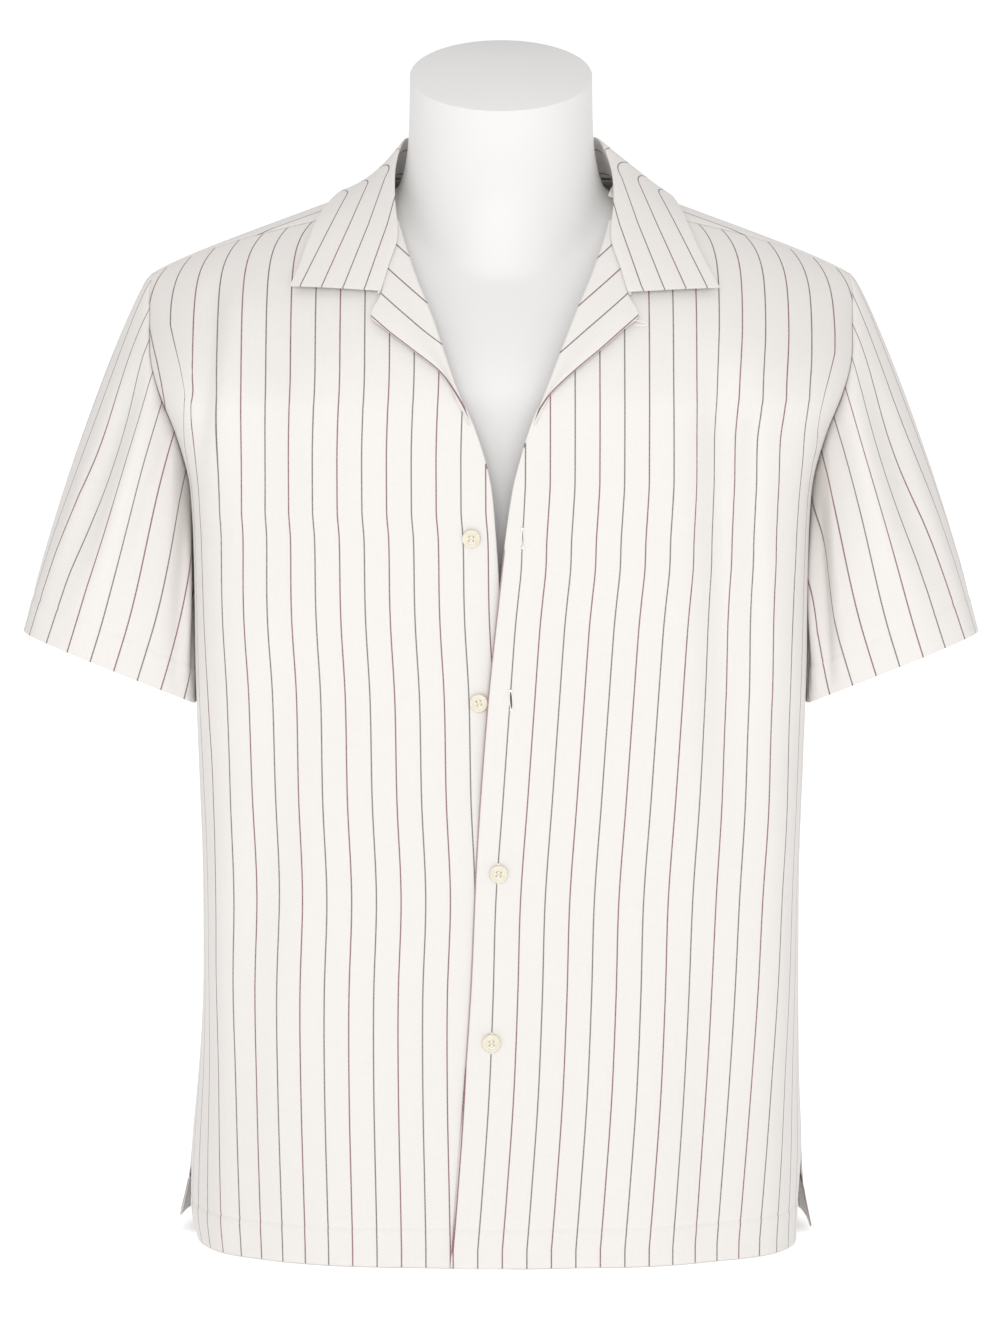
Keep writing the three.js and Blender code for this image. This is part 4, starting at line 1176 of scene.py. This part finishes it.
# The lapels: the top of each front's edge turned back over itself.
lapels = {
    "rows": 90,
    "columns": 34,
    "ends": (588, 722),
    "away": (586, 22),
    "seat": (0.7, 1.9),
    "least": (0.4, 2.0),
    "inset": 0.4,
    "roll": 1.5,
    "behind": 7.0,
    "stripes": {"corner": 652.0, "slope": 1.22, "spread": 0.7, "start": 16.4},
    "thick": 1.1,
    "bevel": 0.4,
    "flat": (0.07, 0.15),
    "area": 0.0045,
    "held": "folded",
    "restsOn": ["front_left", "front_right"],
    "material": fronts["material"],
}
lapelLift = table("z lift", (588, 0.9), (601, 2.2), (612, 3.4), (625, 4.2), (640, 4.8), (653, 5), (661, 5),
                  (675, 3.6), (690, 2.8), (704, 2.6), (722, 2.4))
lapelOuter = {
    "lower": table("z outer", (588, 20.2), (601, 26.6), (611, 32.4), (625, 42.8), (640, 62.3), (653, 80), (661, 89),
                   (675, 82.4), (690, 79.5), (704, 75), (722, 74)),
    "upper": table("z outer", (588, 21.7), (601, 28.4), (611, 35.6), (625, 50.6), (640, 69.2), (653, 84.6),
                   (661, 93.9), (675, 87), (690, 84), (704, 79.5), (722, 78.5)),
}


def buildLapel(name, edge):
    sign = 1 if edge == "upper" else -1
    lap = 1 if edge == "upper" else 0
    z = np.linspace(*lapels["ends"], lapels["rows"])[:, None]
    # at its lower end the lapel runs out into the front's edge
    start, grows = lapels["away"]
    away = smooth((z - start) / grows)
    first = np.abs(read(frontEdges, edge, z)) + lapels["inset"] + lapels["roll"]
    outer = np.maximum(read(lapelOuter[edge], "outer", z), first + mix(*lapels["least"], away))
    share = np.linspace(0, 1, lapels["columns"])[None, :]
    x = mix(first, outer, share)
    seat = mix(*lapels["seat"], away)
    top = onFront(x, z, lap * lapLiftAt(x, z) + mix(seat, read(lapelLift, "lift", z), smooth(share * 1.5)))
    # the roll round the front's edge, and the cloth behind it
    base = lap * lapLiftAt(first, z) + seat
    radius = (seat + 1.5) / 2
    turns = np.linspace(1, 0, 9)[None, :-1] * math.pi
    roll = onFront(first - radius * np.sin(turns), z, base - radius * (1 - np.cos(turns)))
    back = np.linspace(lapels["behind"], 0, 5)[None, :-1] * mix(0.3, 1, away)
    behind = onFront(first + back, z, base - 2 * radius)
    points = np.concatenate([behind, roll, top], axis=1)
    x, height = points[..., 0].copy(), points[..., 2]
    stripes = lapels["stripes"]
    line = read(lapelOuter[edge], "outer", np.minimum(z, stripes["corner"]))
    line = line + stripes["slope"] * np.clip(z - stripes["corner"], 0, None)
    points[..., 0] *= sign
    across, along = (line - x) * stripes["spread"] + stripes["start"], (x + height) * stripes["spread"]
    return buildCloth(name, [sheetOf(points, across, along, sign)], lapels)


dressNode(buildLapel("lapelLeft", "upper"), "lapel_left")
dressNode(buildLapel("lapelRight", "lower"), "lapel_right")
print("lapels made")

# The dress form: a smooth white shell with a neck cut off at a slant.
form = {
    "apex": 736.0,
    "clearance": 2.2,
    "voxel": 0.0042,
    "smoothing": 14,
    "rim": 0.7,
    "baseCut": 1.5,
    "capTilt": 18.5,
    "capMiddle": (0, -15, 819.5),
    "color": (0.722, 0.71, 0.697, 1),
}
formSections = table(
    "z wide front back square",
    (0, 150, 90, 84, 2.3),
    (110, 160, 94, 89, 2.3),
    (220, 156, 92, 86, 2.3),
    (330, 150, 92, 84, 2.3),
    (440, 162, 104, 92, 2.3),
    (530, 178, 110, 104, 2.3),
    (580, 196, 110, 106, 2.4),
    (620, 219, 108, 105, 2.5),
    (655, 230, 106, 103, 2.5),
    (690, 233, 104, 101, 2.5),
    (800, 233, 104, 101, 2.5),
)
neckSections = table(
    "z y wide deep tilt",
    (640, 4, 104, 76, 0),
    (680, 4, 99, 76, 0),
    (704, 0, 87, 68, 0),
    (722, -2, 79, 63, 2),
    (742, -3, 70.8, 60, 5),
    (765, -6, 65.4, 59.5, 9),
    (795, -11, 63.8, 62, 14),
    (819.5, -15, 63.5, 64.5, 18.5),
    (832, -19, 63.4, 65, 18.5),
)


def formRow(side, turn, z):
    square = read(formSections, "square", z)
    x = read(formSections, "wide", z) * np.sign(np.cos(turn)) * np.abs(np.cos(turn)) ** (2 / square)
    return x, depthAt(formSections, side, z, x)


def formSkin():
    chestLine, top = body["chestLine"], body["chestLine"] + body["archLength"]
    turn = np.linspace(0, 2 * math.pi, 145)[:-1]
    rings = []
    for height in np.concatenate([np.linspace(0, chestLine, 61), np.linspace(chestLine, top, 60)[1:]]):
        ring = np.zeros((len(turn), 3))
        for side, sign in (("front", -1), ("back", 1)):
            _, level, climb = archPlace(side, height)
            z = np.full(len(turn), min(height, chestLine))
            x, y = formRow(side, turn, z)
            if height > chestLine:
                for _ in range(4):
                    apex = np.minimum(ridge(x) - form["clearance"], form["apex"])
                    z = chestLine + (apex - chestLine) * climb
                    x, y = formRow(side, turn, z)
            mask = (np.sin(turn) < 0) == (sign < 0)
            ring[mask] = np.stack([x, sign * y * level, z], -1)[mask]
        rings.append(ring)
    return rings


def neckSkin():
    turn = np.linspace(0, 2 * math.pi, 121)[:-1]
    rings = []
    for z in np.append(np.linspace(neckSections["z"][0], form["capMiddle"][2], 40), neckSections["z"][-1]):
        y, wide, deep, tilt = (read(neckSections, c, z) for c in ("y", "wide", "deep", "tilt"))
        back, lean = deep * np.sin(turn), np.radians(tilt)
        rings.append(np.stack([wide * np.cos(turn), y + back * np.cos(lean), z + back * np.sin(lean)], -1))
    return rings


def loftRings(bm, rings):
    hoops = []
    for ring in rings:
        verts = [bm.verts.new((p[0] * 0.001, (p[1] + body["middleShift"]) * 0.001, p[2] * 0.001)) for p in ring]
        hoops.append([bm.edges.new((verts[i - 1], verts[i])) for i in range(len(verts))])
    for low, high in zip(hoops, hoops[1:]):
        bmesh.ops.bridge_loops(bm, edges=low + high)
    bmesh.ops.holes_fill(bm, edges=hoops[0], sides=0)
    bmesh.ops.holes_fill(bm, edges=hoops[-1], sides=0)


def buildForm():
    whole = bmesh.new()
    for rings in (formSkin(), neckSkin()):
        part = bmesh.new()
        loftRings(part, rings)
        bmesh.ops.recalc_face_normals(part, faces=part.faces)
        whole.from_mesh(meshFrom(part, "form part"))
    shape = placed("form shape", meshFrom(whole, "form shape"))
    voxels = shape.modifiers.new("join", "REMESH")
    voxels.mode = "VOXEL"
    voxels.voxel_size = form["voxel"]
    relax = shape.modifiers.new("soften", "SMOOTH")
    relax.factor = 0.5
    relax.iterations = form["smoothing"]
    graph = bpy.context.evaluated_depsgraph_get()
    joined = bpy.data.meshes.new_from_object(shape.evaluated_get(graph))
    bpy.data.objects.remove(shape)
    bm = bmesh.new()
    bm.from_mesh(joined)
    tilt = math.radians(form["capTilt"])
    middle = Vector(form["capMiddle"]) * 0.001 + Vector((0, body["middleShift"] * 0.001, 0))
    cap = (middle, Vector((0, -math.sin(tilt), math.cos(tilt))))
    base = (Vector((0, 0, form["baseCut"] * 0.001)), Vector((0, 0, -1)))
    for point, normal in (cap, base):
        cut = bmesh.ops.bisect_plane(
            bm, geom=bm.verts[:] + bm.edges[:] + bm.faces[:], dist=1e-5,
            plane_co=point, plane_no=normal, clear_outer=True,
        )
        edges = [e for e in cut["geom_cut"] if isinstance(e, bmesh.types.BMEdge)]
        bmesh.ops.holes_fill(bm, edges=edges, sides=0)
    for vert in bm.verts:
        if vert.co.z < (form["baseCut"] + 0.1) * 0.001:
            vert.co.z = 0
    mesh = meshFrom(bm, "dressForm")
    mesh.shade_smooth()
    mesh.materials.append(formMaterial())
    piece = placed("dressForm", mesh)
    bevelEdges(piece, form["rim"])
    return piece


def formMaterial():
    f = Finish("white satin shell")
    where = f.add("ShaderNodeTexCoord", output=3)
    cloud = f.add("ShaderNodeTexNoise", {}, {"Vector": where, "Scale": 9.0, "Detail": 3.0})
    fine = f.add("ShaderNodeTexNoise", {}, {"Vector": where, "Scale": 900.0, "Detail": 2.0})
    return f.finish({
        "Base Color": f.mixColor(f.between(cloud, 0.35, 0.65), tinted(form["color"], 0.985), form["color"]),
        "Roughness": f.between(cloud, 0.3, 0.7, 0.36, 0.44),
        "Specular IOR Level": 0.5,
        "Normal": f.add("ShaderNodeBump", {}, {"Strength": 0.12, "Distance": 0.0001, "Height": fine}),
    })


dressNode(buildForm(), "torso_form")
print("dress form made")

# The buttons, from the hem up: a dished disc with a rim and four holes, tied on with four threads.
buttons = {
    "profile": [(0, 0), (5.1, 0), (5.9, 0.3), (6.3, 1.0), (6.3, 1.6), (5.9, 2.2), (5.3, 2.4), (4.8, 2.2), (4.1, 1.8),
                (3.1, 1.6), (0, 1.55)],
    "hole": 0.62,
    "spread": 1.25,
    "heights": (159, 277, 396, 510),
    "x": (-6.5, -1.6, -15.2, -20.4),
    "fastened": (True, True, False, False),
    "turns": (4, -7, 12, -3),
    "seat": 0.5,
    "color": (0.69, 0.63, 0.505, 1),
    "thread": {"color": (0.86, 0.85, 0.82, 1), "radius": 0.22, "past": 0.4, "sag": 0.8, "apart": 0.18, "high": 1.95},
}


def joinMeshes(name, meshes, material):
    bm = bmesh.new()
    for mesh in meshes:
        bm.from_mesh(mesh)
    mesh = meshFrom(bm, name)
    mesh.shade_smooth()
    mesh.materials.append(material)
    return placed(name, mesh)


def buttonShape():
    bm = bmesh.new()
    verts = [bm.verts.new((x * 0.001, 0, z * 0.001)) for x, z in buttons["profile"]]
    edges = [bm.edges.new(pair) for pair in zip(verts, verts[1:])]
    bmesh.ops.spin(bm, geom=verts + edges, cent=(0, 0, 0), axis=(0, 0, 1), angle=2 * math.pi, steps=48,
                   use_merge=True, use_duplicate=False)
    bmesh.ops.remove_doubles(bm, verts=bm.verts, dist=1e-6)
    bmesh.ops.recalc_face_normals(bm, faces=bm.faces)
    drill = bmesh.new()
    spread, radius = buttons["spread"] * 0.001, buttons["hole"] * 0.001
    for x in (-spread, spread):
        for y in (-spread, spread):
            bmesh.ops.create_cone(drill, cap_ends=True, segments=20, radius1=radius, radius2=radius, depth=0.01,
                                  matrix=Matrix.Translation((x, y, 0)))
    blank, tool = placed("blank", meshFrom(bm, "button body")), placed("tool", meshFrom(drill, "drills"))
    cut = blank.modifiers.new("holes", "BOOLEAN")
    cut.operation = "DIFFERENCE"
    cut.object = tool
    graph = bpy.context.evaluated_depsgraph_get()
    made = bpy.data.meshes.new_from_object(blank.evaluated_get(graph))
    for item in (blank, tool):
        bpy.data.objects.remove(item)
    return made


def threadBar(length, radius, sag):  # a short thread that dives into a hole at each end
    bm = bmesh.new()
    bmesh.ops.create_cone(bm, cap_ends=True, segments=8, radius1=radius, radius2=radius, depth=length,
                          matrix=Matrix.Rotation(math.pi / 2, 4, "Y"))
    for k in range(1, 7):
        bmesh.ops.bisect_plane(bm, geom=bm.verts[:] + bm.edges[:] + bm.faces[:], dist=1e-7,
                               plane_co=(length * (k / 7 - 0.5), 0, 0), plane_no=(1, 0, 0))
    for vert in bm.verts:
        vert.co.z -= sag * abs(2 * vert.co.x / length) ** 3
    return meshFrom(bm, "thread")


def frontPlace(x, z, lift):  # a point on the fronts, in metres, and the way they face there
    run = runAtX("front", z, x)
    near = [onBody("front", run + dr, z + dz, lift) for dr, dz in ((0, 0), (2, 0), (0, 2))]
    point = Vector(near[0]) + Vector((0, body["middleShift"], 0))
    side, up = Vector(near[1] - near[0]).normalized(), Vector(near[2] - near[0]).normalized()
    normal = side.cross(up).normalized()
    return point * 0.001, side, normal.cross(side).normalized(), normal


def setOnFront(x, z, lift, turn=0.0):
    point, side, up, normal = frontPlace(x, z, lift)
    basis = Matrix((side, up, normal)).transposed().to_4x4()
    return Matrix.Translation(point) @ basis @ Matrix.Rotation(math.radians(turn), 4, "Z")


def buttonMaterial():
    f = Finish("cream button")
    where = f.add("ShaderNodeTexCoord", output=3)
    swirl = f.add("ShaderNodeTexNoise", {}, {"Vector": where, "Scale": 260.0, "Detail": 4.0, "Distortion": 1.2})
    return f.finish({
        "Base Color": f.mixColor(f.between(swirl, 0.35, 0.65), buttons["color"], tinted(buttons["color"], 1.08)),
        "Roughness": f.between(swirl, 0.3, 0.7, 0.22, 0.34),
        "Subsurface Weight": 0.05,
        "Specular IOR Level": 0.5,
    })


def threadMaterial():
    f = Finish("sewing thread")
    where = f.add("ShaderNodeTexCoord", output=3)
    ply = f.add("ShaderNodeTexNoise", {}, {"Vector": where, "Scale": 2600.0, "Detail": 2.0})
    color = buttons["thread"]["color"]
    return f.finish({
        "Base Color": f.mixColor(ply, tinted(color, 0.93), color),
        "Roughness": 0.6,
        "Normal": f.add("ShaderNodeBump", {}, {"Strength": 0.4, "Distance": 0.0001, "Height": ply}),
    })


def buildButtons():
    shape, finish, thread = buttonShape(), buttonMaterial(), threadMaterial()
    tie = buttons["thread"]
    for k, z in enumerate(buttons["heights"]):
        x = buttons["x"][k]
        lift = buttons["seat"] + (float(lapLiftAt(x, z)) if buttons["fastened"][k] else 0)
        place = setOnFront(x, z, lift, buttons["turns"][k])
        mesh = shape.copy()
        mesh.transform(place)
        button = joinMeshes("button" + str(k + 1), [mesh], finish)
        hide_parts("button_" + str(k + 1))
        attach(button, "root")
        bars = []
        for row in (-buttons["spread"], buttons["spread"]):
            for offset in (-tie["apart"], tie["apart"]):
                length = 2 * buttons["spread"] + tie["past"]
                bar = threadBar(length * 0.001, tie["radius"] * 0.001, tie["sag"] * 0.001)
                bar.transform(place @ Matrix.Translation(Vector((0, row + offset, tie["high"])) * 0.001))
                bars.append(bar)
        tied = joinMeshes("buttonThread" + str(k + 1), bars, thread)
        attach(tied, "root")
    return thread


threadFinish = buildButtons()
print("buttons made")


def tubeMesh(path, radius, closed=False):  # a thread laid along a path, in millimetres
    if closed:
        path = np.concatenate([path, path[:1]])
    tangent = np.gradient(path, axis=0)
    if closed:
        tangent[0] = tangent[-1] = path[1] - path[-2]
    tangent /= np.linalg.norm(tangent, axis=1, keepdims=True)
    side = np.cross(tangent, (0, 0, 1))
    side /= np.linalg.norm(side, axis=1, keepdims=True)
    up = np.cross(side, tangent)
    angle = np.linspace(0, 2 * math.pi, 9)[:, None]
    rings = path[:, None] + radius * (np.cos(angle) * side[:, None] + np.sin(angle) * up[:, None])
    bm = bmesh.new()
    grid = bmesh.ops.create_grid(bm, x_segments=len(angle) - 1, y_segments=len(path) - 1, size=0.5)
    for vert, place in zip(grid["verts"], rings.reshape(-1, 3)):
        vert.co = place * 0.001
    bmesh.ops.remove_doubles(bm, verts=bm.verts, dist=1e-6)
    if not closed:
        bmesh.ops.holes_fill(bm, edges=bm.edges, sides=0)
    bmesh.ops.recalc_face_normals(bm, faces=bm.faces)
    return meshFrom(bm, "tube")


# The buttonholes: a stitched rim round a slit, a dark disc of painted shadow in the slit, and a bar across each end;
# and the loop at the lapel's corner.
buttonholes = {
    "x": (-6.5, -1.6, 6.9, 14.9),
    "heights": (159, 277, 398.4, 510.6),
    "open": (0.3, 0.3, 1.6, 0.7),
    "turns": (1, 2, 4, 2),
    "long": 13.5,
    "thread": 0.34,
    "rim": {"past": 0.3, "short": 0.4, "high": 0.1},
    "bar": {"half": 1.3, "rows": 0.3, "high": 0.35, "sag": 0.4, "thread": 0.36},
    "proud": 0.25,
    # the shade inside each slit is painted: a thin near-black disc laid on the cloth
    "slitShadow": {"short": 0.8, "thick": 0.2, "color": (0.1, 0.085, 0.085, 1)},
    "loop": {"corner": (93.2, 662.5), "reach": 9.5, "wide": 1.7, "skew": 0.6, "sag": 1.2, "lift": 4.9, "in": 1.5,
             "thread": 0.3},
}


def buttonhole(half, gape):  # the threads of one, and the dark disc of painted shadow in its slit
    rim, bar, slitShadow = buttonholes["rim"], buttonholes["bar"], buttonholes["slitShadow"]
    turn = np.linspace(0, 2 * math.pi, 49)[:-1]
    path = np.stack([
        gape * np.sign(np.cos(turn)) * np.abs(np.cos(turn)) ** 0.7 * np.cos(np.pi / 2 * np.sin(turn) ** 6) ** 0.5,
        (half - rim["short"]) * np.sin(turn),
        0 * turn + rim["high"],
    ], -1)
    threads = [tubeMesh(path, buttonholes["thread"], closed=True)]
    across = np.linspace(-1, 1, 9)
    for end in (-half, half):
        for row in (-bar["rows"], bar["rows"]):
            path = np.stack([across * bar["half"], 0 * across + end + row, bar["high"] - bar["sag"] * across**4], -1)
            threads.append(tubeMesh(path, bar["thread"]))
    # painted shadow: a thin dark disc the shape of the open slit stands for the shade inside it
    bm = bmesh.new()
    shape = Matrix.Diagonal((gape * 0.001, (half - slitShadow["short"]) * 0.001, 1, 1))
    bmesh.ops.create_cone(bm, cap_ends=True, segments=32, radius1=1, radius2=1, depth=slitShadow["thick"] * 0.001,
                          matrix=shape)
    return threads, meshFrom(bm, "slitShadow")


def cornerLoop():
    loop = buttonholes["loop"]
    turn = np.linspace(-math.pi / 2, math.pi / 2, 25)
    return tubeMesh(np.stack([
        loop["reach"] * np.cos(turn) ** 0.8 - loop["in"],
        loop["wide"] * np.sin(turn) + loop["skew"] * np.cos(turn),
        -loop["sag"] * np.cos(turn),
    ], -1), loop["thread"])


def buildButtonholes():
    stitched, slitShadows = [], []
    for k, z in enumerate(buttonholes["heights"]):
        x = buttonholes["x"][k]
        place = setOnFront(x, z, float(lapLiftAt(x, z)) + buttonholes["proud"], buttonholes["turns"][k])
        gape = buttonholes["open"][k] / 2 + buttonholes["rim"]["past"]
        threads, slitShadow = buttonhole(buttonholes["long"] / 2, gape)
        for mesh in threads + [slitShadow]:
            mesh.transform(place)
        stitched.extend(threads)
        slitShadows.append(slitShadow)
    loop = cornerLoop()
    loop.transform(setOnFront(*buttonholes["loop"]["corner"], buttonholes["loop"]["lift"]))
    stitched.append(loop)
    # the discs of painted shadow in the slits are a piece of their own
    for name, meshes, finish in (("stitching", stitched, threadFinish), ("slitShadows", slitShadows, slitShadowMaterial())):
        piece = joinMeshes(name, meshes, finish)
        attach(piece, "root")


# The painted shadow inside the buttonhole slits: near-black, with a fine fuzz.
def slitShadowMaterial():
    f = Finish("painted slit shadow")
    where = f.add("ShaderNodeTexCoord", output=3)
    fuzz = f.add("ShaderNodeTexNoise", {}, {"Vector": where, "Scale": 1500.0, "Detail": 2.0})
    shade = buttonholes["slitShadow"]["color"]
    return f.finish({"Base Color": f.mixColor(fuzz, shade, tinted(shade, 1.5)), "Roughness": 0.9})


buildButtonholes()
print("buttonholes and loop made")

# A pale floor and soft light, mostly from the front.
studio = {
    "floor": (0.93, 0.93, 0.93, 1),
    "glow": 0.42,
    "world": 0.67,
    "lamps": {
        "key": {"at": (-0.5, -5.4, 2.4), "size": (2.8, 2.6), "power": 92, "aim": (0, 0, 0.42)},
        "fill": {"at": (1.5, -5.2, 0.9), "size": (2.6, 2.6), "power": 30, "aim": (0, 0, 0.42)},
        "top": {"at": (0, 0.3, 4.2), "size": (4.0, 4.0), "power": 30, "aim": (0, 0, 0.4)},
    },
}


def lightStudio():
    world = bpy.data.worlds.new("studio")
    world.use_nodes = True
    world.node_tree.nodes["Background"].inputs["Color"].default_value = (1, 1, 1, 1)
    world.node_tree.nodes["Background"].inputs["Strength"].default_value = studio["world"]
    bpy.context.scene.world = world
    for name, spec in studio["lamps"].items():
        data = bpy.data.lights.new(name, "AREA")
        data.shape = "RECTANGLE"
        data.size, data.size_y = spec["size"]
        data.energy = spec["power"]
        lamp = placed(name, data)
        lamp.location = spec["at"]
        aim = Vector(spec["aim"]) - Vector(spec["at"])
        lamp.rotation_euler = aim.to_track_quat("-Z", "Y").to_euler()
    bm = bmesh.new()
    bmesh.ops.create_grid(bm, x_segments=8, y_segments=8, size=60)
    floor = placed("floor", meshFrom(bm, "floor"))
    f = Finish("pale floor")
    floor.data.materials.append(f.finish({
        "Base Color": studio["floor"],
        "Roughness": 0.9,
        "Specular IOR Level": 0.1,
        "Emission Color": (1, 1, 1, 1),
        "Emission Strength": studio["glow"],
    }))
    bpy.context.scene.view_settings.view_transform = "Standard"


lightStudio()
print("studio lit")
